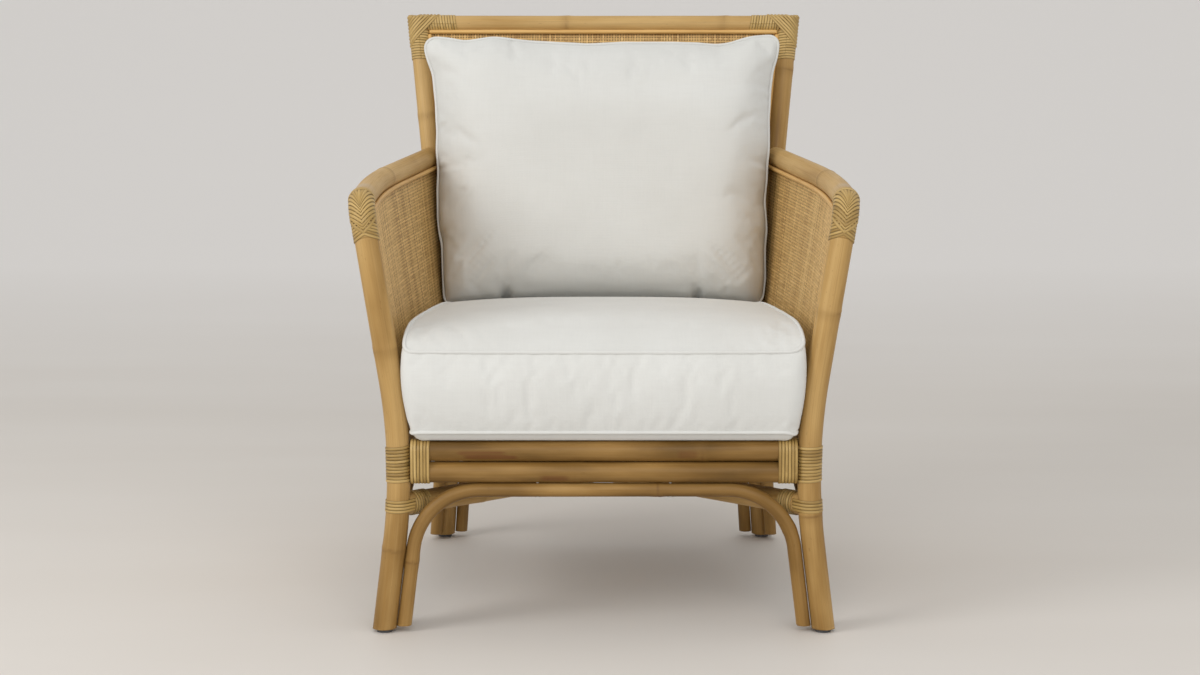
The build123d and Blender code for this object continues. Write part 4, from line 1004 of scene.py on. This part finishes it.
WEAVE_PITCH, WEAVE_WIDTH, WEAVE_AMP, WEAVE_LIFT, WEAVE_DOME = 4.4, 2.95, 0.5, 1.25, 0.42
ROW_TONES, COLUMN_TONES = 0.14, 0.36
WEAVE_DRIFT, WEAVE_UNEVEN = 0.025, 0.05
# How much the weave's strip edges, and strips where they pass under others, are darkened: painted shade
EDGE_SHADE, UNDER_SHADE = 0.82, 0.25
SHADOW_LINING_POINTS, SHADOW_LINING_HALF = 41, 0.3


def weave(name, place, columns, rows, column_span, row_span, side, stands_for):
    """A plain weave in a grid of columns and rows; place(a, b, off) gives points in space."""
    bundle = Bundle()
    layers = ((True, rows, row_span, 1, ROW_TONES), (False, columns, column_span, -1, COLUMN_TONES))
    for is_row, lines, span, sign, tones in layers:
        for j in range(lines + 1):
            start, end = span(j)
            start, end = math.ceil(start * 2) / 2, math.floor(end * 2) / 2
            if end - start < 1:
                continue
            crossings = np.arange(math.ceil(start), math.floor(end) + 1)
            steps = np.unique(np.concatenate([[start], crossings, [end]]))
            n = len(steps)
            over = sign * np.cos(math.pi * (steps + j))
            off = WEAVE_LIFT + WEAVE_AMP * over
            drift = rng.normal(0, WEAVE_DRIFT)
            half = WEAVE_WIDTH / WEAVE_PITCH / 2 * (1 + rng.normal(0, WEAVE_UNEVEN))
            lines_of = []
            for share, rise in ((-half, 0.0), (0.0, WEAVE_DOME), (half, 0.0)):
                beside = np.full(n, j + drift + share)
                a, b = (steps, beside) if is_row else (beside, steps)
                lines_of.append(place(a, b, (off + rise) * side))
            faces = [(i + k, i + k + 1, i + k + 4, i + k + 3) for i in range(0, 3 * n - 3, 3) for k in (0, 1)]
            shift = rng.uniform(-GRAIN_SHIFT, GRAIN_SHIFT)
            across = np.tile([-half, 0.0, half], n) * WEAVE_PITCH * MM
            along = np.repeat(steps, 3) * WEAVE_PITCH * MM
            # Darker at the strip's sides and where it dips under the crossing strip: painted shade
            edge = np.tile([EDGE_SHADE, 0.0, EDGE_SHADE], n) + np.clip(-np.repeat(over, 3), 0, 1) * UNDER_SHADE
            grain = np.stack([across, np.full(3 * n, shift), along + shift], 1)
            tone = np.full(3 * n, rng.normal(0, tones))
            bundle.add(np.stack(lines_of, 1), faces, grain=grain, edge=edge, tone=tone)
    dress(bundle.piece(name), "frame", "cane", CANE, *stands_for)


def shadow_lining(name, place, columns, rows, inside_of):
    """A thin closed dark sheet behind the weave, as painted shade in its holes."""
    places = (np.linspace(0, columns, SHADOW_LINING_POINTS), np.linspace(0, rows, SHADOW_LINING_POINTS))
    a, b = np.meshgrid(*places, indexing="ij")
    a = inside_of(a, b)
    layers = [place(a.ravel(), b.ravel(), np.full(a.size, off)) for off in (-SHADOW_LINING_HALF, SHADOW_LINING_HALF)]
    low = index_of(a)
    high = low + a.size
    faces = [grid_faces(low, True), grid_faces(high), loop_faces(rim_of(low), rim_of(high))]
    dress(make_mesh(name, np.concatenate(layers), np.concatenate(faces)), "frame", "cane", SHADOW_LINING)


BACK_CANE_IN, BACK_CANE_BESIDE = 6, 10
back_middle = np.array([0, back_rail_at[1], back_rail_at[2]])
back_origin = back_middle + BACK_FORWARD * (BACK_CANE_FORWARD + CANE_T / 2)
back_span = np.linalg.norm((TOP_RAIL_AT - back_rail_at)[1:])
back_rows = int(round((back_span - 2 * BACK_CANE_IN) / WEAVE_PITCH))
back_half_top, back_half_low = TOP_RAIL_AT[0] - BACK_CANE_BESIDE, back_rail_at[0] - BACK_CANE_BESIDE
back_columns = 2 * int(back_half_top / WEAVE_PITCH)
back_mid = back_columns / 2


def back_place(a, b, off):
    x = (a - back_mid) * WEAVE_PITCH
    v = BACK_CANE_IN + b * WEAVE_PITCH
    return back_origin + x[:, None] * ACROSS + v[:, None] * BACK_UP + off[:, None] * BACK_FORWARD


def back_half(b):
    """Half the width of the back panel at a row, in columns."""
    share = (BACK_CANE_IN + b * WEAVE_PITCH) / back_span
    return (back_half_low + (back_half_top - back_half_low) * share) / WEAVE_PITCH


def back_row_span(j):
    return back_mid - back_half(j), back_mid + back_half(j)


def back_column_span(i):
    away = abs(i - back_mid) * WEAVE_PITCH
    v = (away - back_half_low) / (back_half_top - back_half_low) * back_span
    return max(0.0, (v - BACK_CANE_IN) / WEAVE_PITCH), back_rows


def back_inside(a, b):
    return back_mid + (a - back_mid) / back_mid * back_half(b)


back_grid = (back_place, back_columns, back_rows)
weave("weave_back_front", *back_grid, back_column_span, back_row_span, 1, ["cane_back"])
weave("weave_back_rear", *back_grid, back_column_span, back_row_span, -1, [])
shadow_lining("shadow_lining_back", *back_grid, back_inside)

SIDE_CANE_H, SIDE_CANE_STRETCH, SIDE_CANE_IN = 370, 1.06, 8.0
shares = np.linspace(0, 1, 81)
feet = side_foot[0] + (side_foot[1] - side_foot[0]) * shares[:, None]
arm_path = route([ELBOW, ARM_BOW, ARM_BACK], [ARM_BOW_R])
heads = mixed_at(ELBOW[1] + (ARM_BACK[1] - ELBOW[1]) * shares, arm_path[:, 1], arm_path)
side_columns = int(np.linalg.norm(side_foot[1] - side_foot[0]) * SIDE_CANE_STRETCH / WEAVE_PITCH)
side_rows = int(SIDE_CANE_H / WEAVE_PITCH)
trim = SIDE_CANE_IN / WEAVE_PITCH


def side_place(sign):
    """Gives the function that places the points of one side panel."""

    def place(a, b, off):
        foot = mixed_at(a / side_columns, shares, feet)
        head = mixed_at(a / side_columns, shares, heads)
        rise = units(head - foot)
        thick = units(ACROSS - rise * rise[:, :1])
        p = foot + (head - foot) * (b / side_rows)[:, None] - ACROSS * CANE_INSET - thick * off[:, None]
        return on_side(p, sign)

    return place


def side_column_span(i):
    return trim, side_rows - trim


def side_row_span(j):
    return trim, side_columns - trim


def side_inside(a, b):
    return trim + a * (1 - 2 * trim / side_columns)


for side, sign in SIDES.items():
    side_grid = (side_place(sign), side_columns, side_rows)
    side_spans = (side_column_span, side_row_span)
    weave(f"weave_side_inner_{side}", *side_grid, *side_spans, 1, [f"cane_side_{side}"])
    weave(f"weave_side_outer_{side}", *side_grid, *side_spans, -1, [])
    shadow_lining(f"shadow_lining_side_{side}", *side_grid, side_inside)

# Cushions: cloth that swells against its seams, then creases and welts

WELT_R, WELT_SIDES = 2.7, 12
CLOTH_SLACK, CLOTH_PRESSURE, CLOTH_STEPS = 0.012, 4.0, 20


def finer(values, axis, closed=False):
    """Twice as many points along an axis, on a smooth curve through the old ones."""
    values = np.moveaxis(values, axis, 0)
    if closed:
        before, after = np.roll(values, 1, 0), np.roll(values, -1, 0)
        beyond = np.roll(values, -2, 0)
        middle = (9 * (values + after) - before - beyond) / 16
        out = np.stack([values, middle], 1).reshape(-1, *values.shape[1:])
    else:
        padded = np.concatenate([2 * values[:1] - values[1:2], values, 2 * values[-1:] - values[-2:-1]])
        middle = (9 * (padded[1:-2] + padded[2:-1]) - padded[:-3] - padded[3:]) / 16
        out = np.empty((2 * len(values) - 1, *values.shape[1:]))
        out[0::2], out[1::2] = values, middle
    return np.moveaxis(out, 0, axis)


def finer_grid(grid, closed=False):
    return finer(finer(grid, 0), 1, closed)


def swell(name, verts, faces, held):
    """Cloth with some slack is blown up between its held seams; gives the points where it comes to rest."""
    piece = make_mesh(name, verts, faces)
    group = piece.vertex_groups.new(name="held")
    group.add([int(i) for i in np.flatnonzero(held)], 1.0, "ADD")
    cloth = piece.modifiers.new("cloth", "CLOTH")
    settings = cloth.settings
    settings.vertex_group_mass = "held"
    settings.shrink_min = -CLOTH_SLACK
    settings.use_pressure = True
    settings.uniform_pressure_force = CLOTH_PRESSURE
    settings.effector_weights.gravity = 0
    settings.quality = 6
    settings.bending_stiffness = 0.3
    cloth.point_cache.frame_start = 1
    cloth.point_cache.frame_end = CLOTH_STEPS
    for step in range(1, CLOTH_STEPS + 1):
        scene.frame_set(step)
    grown = piece.evaluated_get(bpy.context.evaluated_depsgraph_get()).to_mesh()
    points = np.empty(len(grown.vertices) * 3)
    grown.vertices.foreach_get("co", points)
    bpy.data.objects.remove(piece)
    scene.frame_set(1)
    return points.reshape(-1, 3) / MM


def capped(start, end, cap):
    """Movement limited to a cap, softly."""
    move = end - start
    far = np.linalg.norm(move, axis=1, keepdims=True)
    return start + move * (cap * np.tanh(far / cap) / np.maximum(far, 1e-9))


def crease(x, y, start, end, depth, width):
    """A groove with a soft ridge beside it, from a start that is deep to an end where it fades."""
    way = np.subtract(end, start)
    length = np.linalg.norm(way)
    way = way / length
    along = (x - start[0]) * way[0] + (y - start[1]) * way[1]
    aside = (y - start[1]) * way[0] - (x - start[0]) * way[1]
    fade = np.clip(1 - along / length, 0, 1) * np.clip(1 + along / (0.25 * length), 0, 1)
    spread = width * (1 + 0.7 * np.clip(along / length, 0, 1))
    return depth * fade * (0.55 * bell(aside - 2.1 * spread, 1.2 * spread) - bell(aside, spread))


def welt(bundle, path, radius, step=4.0):
    """A round piping along a closed seam."""
    ring = resampled(np.vstack([path, path[:1]]), step)[:-1]
    for _ in range(2):
        ring = (np.roll(ring, 1, 0) + 2 * ring + np.roll(ring, -1, 0)) / 4
    n = len(ring)
    ways = units(np.roll(ring, -1, 0) - np.roll(ring, 1, 0))
    outward = units(ring - ring.mean(0))
    e1 = units(outward - ways * np.sum(outward * ways, 1)[:, None])[:, None]
    e2 = np.cross(ways, e1[:, 0])[:, None]
    angle = (np.arange(WELT_SIDES) * TURN / WELT_SIDES)[None, :, None]
    girth = radius + 0.18 * np.sin(np.arange(n) * step / 9.0) * np.sin(np.arange(n) * step / 23.0)
    verts = ring[:, None] + girth[:, None, None] * (e1 * np.cos(angle) + e2 * np.sin(angle))
    bundle.add(verts, tube_faces(n, WELT_SIDES, True))


def round_corners(a, b, reach_a, reach_b):
    """Rounds the corners of the square from -1 to 1; the reaches are shares of its halves."""
    x = np.maximum(np.abs(a) - (1 - reach_a), 0) / reach_a
    y = np.maximum(np.abs(b) - (1 - reach_b), 0) / reach_b
    far = np.maximum(np.hypot(x, y), 1e-9)
    shrink = np.where((x > 0) & (y > 0), np.maximum(x, y) / far, 1.0)
    new_a = np.where(x > 0, np.sign(a) * (1 - reach_a + reach_a * x * shrink), a)
    new_b = np.where(y > 0, np.sign(b) * (1 - reach_b + reach_b * y * shrink), b)
    return new_a, new_b


def dome(x, power, softness=1.0):
    """One in the middle, nothing at -1 and 1."""
    return np.clip(1 - np.abs(x) ** power, 0, 1) ** softness


# Seat cushion

SEAT_LIFT = 19.2
SEAT_NEAR, SEAT_LENGTH = -23.0, 553.0
SEAT_SEAM_H, SEAT_LOW_SEAM_H = 120.0, 9.0
SEAT_WIDTHS_LOW, SEAT_WIDTHS_HIGH = (268.0, 222.0), (277.0, 231.0)
SEAT_CORNER_LOW, SEAT_CORNER_HIGH = 9.0, 11.0
# How far a corner's millimetre reaches, as a share of half the seat
LEFT_CORNER, RIGHT_CORNER, DEEP_CORNER = 0.65 / 250, 1.7 / 250, 1.2 / 276
SEAT_CROWN, CROWN_FRONT, CROWN_REAR = 46.0, 4.6, 3.2
SEAT_SIDE_RISE, SIDE_RISE_WITHIN, SEAM_STEP = 36.0, 0.055, 1
SEAT_SAG, SEAT_FRONT_SAG, FRONT_SAG_AT, FRONT_SAG_WIDTH, LOW_EDGE_R = -2.3, -2.2, 11, 7, 13
FRONT_BULGE, SIDE_BULGE, REAR_BULGE = 10.0, 4.0, 3.0
LEG_PINCH, LEG_PINCH_AT, LEG_PINCH_WIDTH = 2.0, 4, 26
SEAT_CELLS_ACROSS, SEAT_CELLS_DEEP, SEAT_CELLS_HIGH = 68, 70, 14
SEAT_CAP, SEAT_TOP_CAP = 3.0, 1.1
SEAT_SLOPE = unit([0, post_at(rear_up_z)[1] - FRONT_Y, -SEAT_DROP])
SEAT_RISE = np.array([0, -SEAT_SLOPE[2], SEAT_SLOPE[1]])
SEAT_BASE = np.array([0, FRONT_Y, FRONT_RAIL_Z]) + SEAT_RISE * SEAT_LIFT


def seat_point(x, depth, height):
    return SEAT_BASE + ACROSS * x[..., None] + SEAT_SLOPE * depth[..., None] + SEAT_RISE * height[..., None]


def seat_plan(u, share, widths, corner):
    """A place across and along the seat, and the shares after its corners are rounded."""
    reach = corner * np.where(u > 0, RIGHT_CORNER, LEFT_CORNER)
    a, b = round_corners(u, 2 * share - 1, reach, corner * DEEP_CORNER)
    share = (b + 1) / 2
    return a * (widths[0] + (widths[1] - widths[0]) * share), SEAT_NEAR + SEAT_LENGTH * share, a, share


def seat_mesh(top, bottom, box):
    """Points and faces of the closed cover: top, bottom and the boxing between their rims."""
    top_index = index_of(top)
    bottom_index = top_index + top_index.size
    between = 2 * top_index.size + index_of(box[1:-1])
    rows = [rim_of(bottom_index), *between, rim_of(top_index)]
    faces = [grid_faces(top_index), grid_faces(bottom_index, True)]
    faces += [loop_faces(low_row, high_row) for low_row, high_row in zip(rows, rows[1:])]
    verts = np.concatenate([top.reshape(-1, 3), bottom.reshape(-1, 3), box[1:-1].reshape(-1, 3)])
    return verts, np.concatenate(faces), rows


across, along = np.linspace(-1, 1, SEAT_CELLS_ACROSS + 1), np.linspace(0, 1, SEAT_CELLS_DEEP + 1)
grid_u, grid_s = np.meshgrid(across, along, indexing="ij")
x, depth, u, share = seat_plan(grid_u, grid_s, SEAT_WIDTHS_HIGH, SEAT_CORNER_HIGH)
seam_rise = SEAT_SIDE_RISE * (1 - np.exp(-share / SIDE_RISE_WITHIN)) * (1 - share**7)
front_crown = 1 - np.clip(1 - share / 0.5, 0, 1) ** CROWN_FRONT
rear_crown = 1 - np.clip(share / 0.5 - 1, 0, 1) ** CROWN_REAR
crown = SEAT_CROWN * np.where(share < 0.5, front_crown, rear_crown)
height = SEAT_SEAM_H + SEAM_STEP + seam_rise + (crown - SEAM_STEP - seam_rise) * (1 - np.abs(u) ** 3)
seat_top = seat_point(x, depth, height)
x, depth, u, share = seat_plan(grid_u, grid_s, SEAT_WIDTHS_LOW, SEAT_CORNER_LOW)
from_ends = np.minimum(depth - SEAT_NEAR, SEAT_NEAR + SEAT_LENGTH - depth)
inside = np.minimum(SEAT_WIDTHS_LOW[1] - np.abs(u) * SEAT_WIDTHS_LOW[1], from_ends)
sag = SEAT_SAG + SEAT_FRONT_SAG * bell(inside - FRONT_SAG_AT, FRONT_SAG_WIDTH) * (depth < 0)
height = sag + (SEAT_LOW_SEAM_H - sag) * (1 - np.sin(np.clip(inside / LOW_EDGE_R, 0, 1) * math.pi / 2))
seat_bottom = seat_point(x, depth, height)
rim = rim_of(index_of(seat_top))
high, low = seat_top.reshape(-1, 3)[rim], seat_bottom.reshape(-1, 3)[rim]
outward = units(np.cross(units(np.roll(high, -1, 0) - np.roll(high, 1, 0)), SEAT_RISE))
for _ in range(4):
    outward = units(np.roll(outward, 1, 0) + 2 * outward + np.roll(outward, -1, 0))
beside_leg = bell((low - SEAT_BASE) @ SEAT_SLOPE - LEG_PINCH_AT, LEG_PINCH_WIDTH)
bulge = FRONT_BULGE * np.clip(-outward[:, 1], 0, 1) + REAR_BULGE * np.clip(outward[:, 1], 0, 1)
bulge += np.abs(outward[:, 0]) * (SIDE_BULGE - LEG_PINCH * beside_leg)
rise_share = np.linspace(0, 1, SEAT_CELLS_HIGH + 1)
skewed = rise_share**1.3
arch = np.clip(4 * skewed * (1 - skewed), 0, 1) ** 0.75
seat_box = low + (high - low) * rise_share[:, None, None] + outward * (bulge[:, None] * arch[:, None, None])

verts, faces, rows = seat_mesh(seat_top, seat_bottom, seat_box)
size = index_of(seat_top).size
held = np.zeros(len(verts), bool)
held[rows[0]] = held[rows[-1]] = True
held[size : 2 * size] = True
swollen = swell("seat_cloth", verts, faces, held)
grown = capped(verts, swollen, SEAT_CAP)
grown[:size] = capped(verts[:size], swollen[:size], SEAT_TOP_CAP)
seat_top = finer_grid(grown[:size].reshape(seat_top.shape))
seat_bottom = finer_grid(grown[size : 2 * size].reshape(seat_bottom.shape))
seat_box = finer_grid(grown[np.array(rows)], True)
rim = rim_of(index_of(seat_top))
seat_box[-1] = seat_top.reshape(-1, 3)[rim]
seat_box[0] = seat_bottom.reshape(-1, 3)[rim]

BOXING_H = 116
FRONT_PUCKERS, OTHER_PUCKERS = (60, 470, 26), (560, 1900, 40)
draw = np.random.default_rng(7)
rise_share = np.linspace(0, 1, seat_box.shape[0])
heights, lengths = np.linspace(0, BOXING_H, len(rise_share)), lengths_along(seat_box[-1])
box_y, box_x = np.meshgrid(heights, lengths, indexing="ij")
pucker = np.zeros_like(box_x)
for start_x in np.r_[draw.uniform(*FRONT_PUCKERS), draw.uniform(*OTHER_PUCKERS)]:
    from_top = draw.uniform() < 0.6
    start_y, end_y = (BOXING_H, draw.uniform(20, 85)) if from_top else (0, draw.uniform(30, 80))
    end = (start_x + draw.normal(0, 9), end_y)
    depth_mm, width = draw.uniform(0.5, 1.5), draw.uniform(4.5, 7.5)
    pucker += crease(box_x, box_y, (start_x, start_y), end, depth_mm, width)
taper = np.clip(4 * rise_share, 0, 1) * np.clip(4 * rise_share[::-1], 0, 1)
box_out = units(np.cross(np.gradient(seat_box, axis=1), np.gradient(seat_box, axis=0)))
seat_box[1:-1] = (seat_box + box_out * (pucker * taper[:, None])[..., None])[1:-1]

verts, faces, rows = seat_mesh(seat_top, seat_bottom, seat_box)
seat_piece = make_mesh("cushion_seat", verts, faces)
dress(seat_piece, "seat_cushion", "cushion_fabric", FABRIC, "seat_cushion_cover", "seat_cushion_foam")
made = Bundle()
welt(made, verts[rows[-1]], WELT_R)
welt(made, verts[rows[0]], WELT_R)
dress(made.piece("cushion_seat_welts"), "seat_cushion", "cushion_fabric", FABRIC, "seat_cushion_welts")

# Back pillow: two panels that share one seam, with the seam's four edges as (place, value)

PILLOW_FRONT, PILLOW_REAR, PILLOW_REAR_STOP = 79.0, 61.0, -60.6
PILLOW_H, PILLOW_UP, PILLOW_GAP, PILLOW_BEHIND = 437.0, 45.0, 0.5, 62.0
PILLOW_CORNER = (16 / 285, 16 / 218)
PILLOW_CELLS_ACROSS, PILLOW_CELLS_HIGH = 74, 62
PILLOW_CAP = 4.0
PILLOW_WELT_R = WELT_R - 0.3
PILLOW_LEFT = [
    (0, 254), (45, 257), (100, 259), (116, 263), (138, 266), (185, 267), (222, 266), (250, 269),
    (279, 268), (330, 271), (378, 276), (391, 281), (407, 287), (421, 290), (437, 289),
]
PILLOW_RIGHT = [
    (0, 252), (17, 256), (45, 259), (92, 259), (120, 262), (143, 261), (166, 259), (204, 263),
    (228, 264), (255, 267), (303, 267), (350, 270), (379, 274), (402, 281), (426, 285), (437, 285),
]
PILLOW_TOP = [
    (-290, 439), (-270, 440), (-247, 437), (-224, 433), (-205, 436), (-182, 440), (-159, 438),
    (-131, 434), (-84, 431), (-23, 428), (32, 431), (102, 431), (149, 430), (186, 427), (203, 429),
    (224, 436), (242, 441), (270, 443), (285, 443),
]
PILLOW_LOW = [
    (-254, 0), (-200, 5), (-165, 7), (-156, 12), (-147, 7), (-60, 6), (60, 6), (140, 7), (149, 11),
    (158, 6), (205, 4), (252, 0),
]
# The pillow's creases: start, end, depth and width
CREASES = [
    ((-150, 432), (-138, 392), 2.6, 4.5), ((-166, 434), (-160, 404), 1.2, 4.0),
    ((-222, 433), (-214, 408), 1.6, 5.0), ((-268, 286), (-238, 292), 2.0, 4.0),
    ((-266, 222), (-232, 216), 2.6, 3.8), ((-266, 209), (-242, 200), 1.6, 3.5),
    ((-262, 116), (-234, 122), 2.2, 4.2), ((-264, 318), (-246, 330), 1.2, 4.0),
    ((270, 352), (240, 362), 2.2, 4.2), ((268, 338), (250, 336), 1.2, 4.0),
    ((264, 226), (226, 230), 2.8, 4.0), ((263, 214), (236, 208), 1.4, 3.8),
    ((259, 164), (236, 150), 2.0, 5.0), ((262, 118), (246, 112), 1.2, 4.0),
    ((-156, 8), (-176, 44), 4.0, 5.5), ((-156, 8), (-136, 46), 3.2, 5.5),
    ((149, 8), (132, 42), 3.6, 5.5), ((149, 8), (168, 40), 2.6, 5.0),
    ((0, 429), (4, 404), 1.0, 6.0), ((186, 427), (190, 398), 1.8, 5.0),
    ((96, 431), (92, 410), 0.9, 6.0), ((-84, 431), (-80, 412), 0.9, 5.0),
    ((232, 436), (222, 412), 1.2, 5.0),
]
pillow_forward = BACK_CANE_FORWARD + CANE_T + PILLOW_GAP + PILLOW_BEHIND
pillow_seam = back_middle + BACK_UP * PILLOW_UP + BACK_FORWARD * pillow_forward


def smooth_through(points, at_places, window):
    """A smoothed line through a list of (place, value)."""
    places, values = np.array(points, float).T
    shifts = np.linspace(-window, window, 9)
    weights = 1 - np.abs(shifts) / (window * 1.25)
    mixed_values = sum(w * np.interp(at_places + s, places, values) for s, w in zip(shifts, weights))
    return mixed_values / weights.sum()


def pillow_point(x, v, forward):
    return pillow_seam + ACROSS * x[..., None] + BACK_UP * v[..., None] + BACK_FORWARD * forward[..., None]


def pillow_mesh(front, rear):
    """Points and faces of the two panels, which share the points of the seam."""
    front_index = index_of(front)
    rear_index = front_index.copy()
    rear_index[1:-1, 1:-1] = front_index.size + index_of(rear[1:-1, 1:-1])
    verts = np.concatenate([front.reshape(-1, 3), rear[1:-1, 1:-1].reshape(-1, 3)])
    return verts, np.concatenate([grid_faces(front_index), grid_faces(rear_index, True)]), rear_index


across, along = np.linspace(-1, 1, PILLOW_CELLS_ACROSS + 1), np.linspace(-1, 1, PILLOW_CELLS_HIGH + 1)
grid_u, grid_w = np.meshgrid(across, along, indexing="ij")
u, w = round_corners(grid_u, grid_w, *PILLOW_CORNER)
rough_v = (w + 1) / 2 * PILLOW_H
left = smooth_through(PILLOW_LEFT, rough_v, 7.0)
right = smooth_through(PILLOW_RIGHT, rough_v, 7.0)
x = -left + (left + right) * (u + 1) / 2
top_line = smooth_through(PILLOW_TOP, x, 9.0)
low_line = smooth_through(PILLOW_LOW, x, 6.0)
v = low_line + (top_line - low_line) * (w + 1) / 2
lowness = np.clip((0.6 - w) / 1.2, 0, 1)
front_full = dome(u, 5.5 + 3.5 * lowness, 0.72 - 0.06 * lowness)
front_full *= dome(w, 3.0 + 6.0 * lowness, 0.70 - 0.08 * lowness)
rear_full = dome(u, 4, 0.85) * dome(w, 2.3, 0.78)
pillow_front = pillow_point(x, v, PILLOW_FRONT * front_full)
pillow_rear = pillow_point(x, v, -PILLOW_REAR * rear_full)

verts, faces, rear_index = pillow_mesh(pillow_front, pillow_rear)
front_index = index_of(pillow_front)
held = np.zeros(len(verts), bool)
held[rim_of(front_index)] = True
grown = capped(verts, swell("pillow_cloth", verts, faces, held), PILLOW_CAP)
pillow_front = finer_grid(grown[front_index])
pillow_rear = finer_grid(grown[rear_index])
out = units(np.cross(np.gradient(pillow_front, axis=0), np.gradient(pillow_front, axis=1)))
flat_x = (pillow_front - pillow_seam) @ ACROSS
flat_v = (pillow_front - pillow_seam) @ BACK_UP
dents = sum(crease(flat_x, flat_v, *values) for values in CREASES)
dents[0] = dents[-1] = 0
dents[:, 0] = dents[:, -1] = 0
pillow_front = pillow_front + out * dents[..., None]
behind = (pillow_rear - pillow_seam) @ BACK_FORWARD
pillow_rear = pillow_rear + BACK_FORWARD * np.maximum(PILLOW_REAR_STOP - behind, 0)[..., None]
verts, faces, rear_index = pillow_mesh(pillow_front, pillow_rear)
pillow_piece = make_mesh("cushion_back", verts, faces)
dress(pillow_piece, "back_cushion", "cushion_fabric", FABRIC, "back_cushion_cover", "back_cushion_fill")
made = Bundle()
welt(made, verts[rim_of(index_of(pillow_front))], PILLOW_WELT_R)
dress(made.piece("cushion_back_welt"), "back_cushion", "cushion_fabric", FABRIC, "back_cushion_welt")

# Camera; the focal length is in the photo's pixels

SENSOR_WIDTH, PHOTO_WIDTH, FOCAL_LENGTH = 36.0, 1200, 2309
CAMERA_X, CAMERA_AWAY, CAMERA_Z, CAMERA_DOWN = -5.5, 3160, 851, 7.83
camera_data = bpy.data.cameras.new("camera")
camera = bpy.data.objects.new("camera", camera_data)
scene.collection.objects.link(camera)
camera_data.sensor_width = SENSOR_WIDTH
camera_data.lens = SENSOR_WIDTH * FOCAL_LENGTH / PHOTO_WIDTH
camera.location = (CAMERA_X * MM, (FRONT_Y - CAMERA_AWAY) * MM, CAMERA_Z * MM)
camera.rotation_euler = (math.radians(90 - CAMERA_DOWN), 0, 0)
scene.camera = camera

# Floor, swept up into a wall; lengths are in metres from here on

WIDE, NEAR, FAR, TALL, SWEEP = 16.0, -14.0, 10.0, 8.0, 5.6
FLOOR_DARK, FLOOR_PALE, WALL = (0.70, 0.665, 0.625), (0.73, 0.70, 0.665), (0.96, 0.94, 0.925)
profile = [(NEAR, 0.0), (FAR - SWEEP, 0.0)]
for angle in np.linspace(0.1, math.pi / 2, 14):
    profile.append((FAR - SWEEP + SWEEP * math.sin(angle), SWEEP - SWEEP * math.cos(angle)))
profile.append((FAR, TALL))
floor_verts = [(x, y, z) for y, z in profile for x in (-WIDE, WIDE)]
floor_faces = [(2 * i, 2 * i + 1, 2 * i + 3, 2 * i + 2) for i in range(len(profile) - 1)]
floor_mesh = bpy.data.meshes.new("floor")
floor_mesh.from_pydata(floor_verts, [], floor_faces)
floor_mesh.shade_smooth()
floor = bpy.data.objects.new("floor", floor_mesh)
scene.collection.objects.link(floor)
look = Look("floor")
place = look.place()
colour = look.ramp(look.noise(place, (0.6, 2.2, 1.0)), (0.3, FLOOR_DARK), (0.7, FLOOR_PALE))
depth = look.add("ShaderNodeSeparateXYZ", "Y", {0: place})
wall_share = look.ramp(look.times(depth, 0.2), (0.3, 0.0), (0.9, 1.0))
floor_mesh.materials.append(look.surface(look.mixed(wall_share, colour, WALL), 0.6))

# Light

world = bpy.data.worlds.new("world")
world.use_nodes = True
world.node_tree.nodes["Background"].inputs["Color"].default_value = (1.0, 0.99, 0.97, 1)
world.node_tree.nodes["Background"].inputs["Strength"].default_value = 0.62
scene.world = world

# Each lamp's place, the point it faces, its size, power and colour
LAMPS = {
    "key": ((-3.0, -2.1, 2.3), (0, 0, 0.5), (1.7, 1.7), 50, (1.0, 0.985, 0.96)),
    "front": ((0.4, -3.8, 2.3), (0, 0.2, 0.75), (3.0, 2.0), 50, (1.0, 0.99, 0.975)),
    "fill": ((2.8, -2.2, 1.7), (0, 0, 0.45), (2.2, 2.2), 5, (0.97, 0.98, 1.0)),
    "top": ((0.2, 0.4, 3.4), (0, 0, 0), (2.4, 2.0), 6, (1.0, 0.99, 0.97)),
}
for name, (place, target, size, power, colour) in LAMPS.items():
    data = bpy.data.lights.new(name, "AREA")
    data.shape = "RECTANGLE"
    data.size, data.size_y = size
    data.energy = power
    data.color = colour
    lamp = bpy.data.objects.new(name, data)
    scene.collection.objects.link(lamp)
    lamp.location = place
    lamp.rotation_euler = (Vector(target) - Vector(place)).to_track_quat("-Z", "Y").to_euler()

scene.view_settings.view_transform = "Standard"
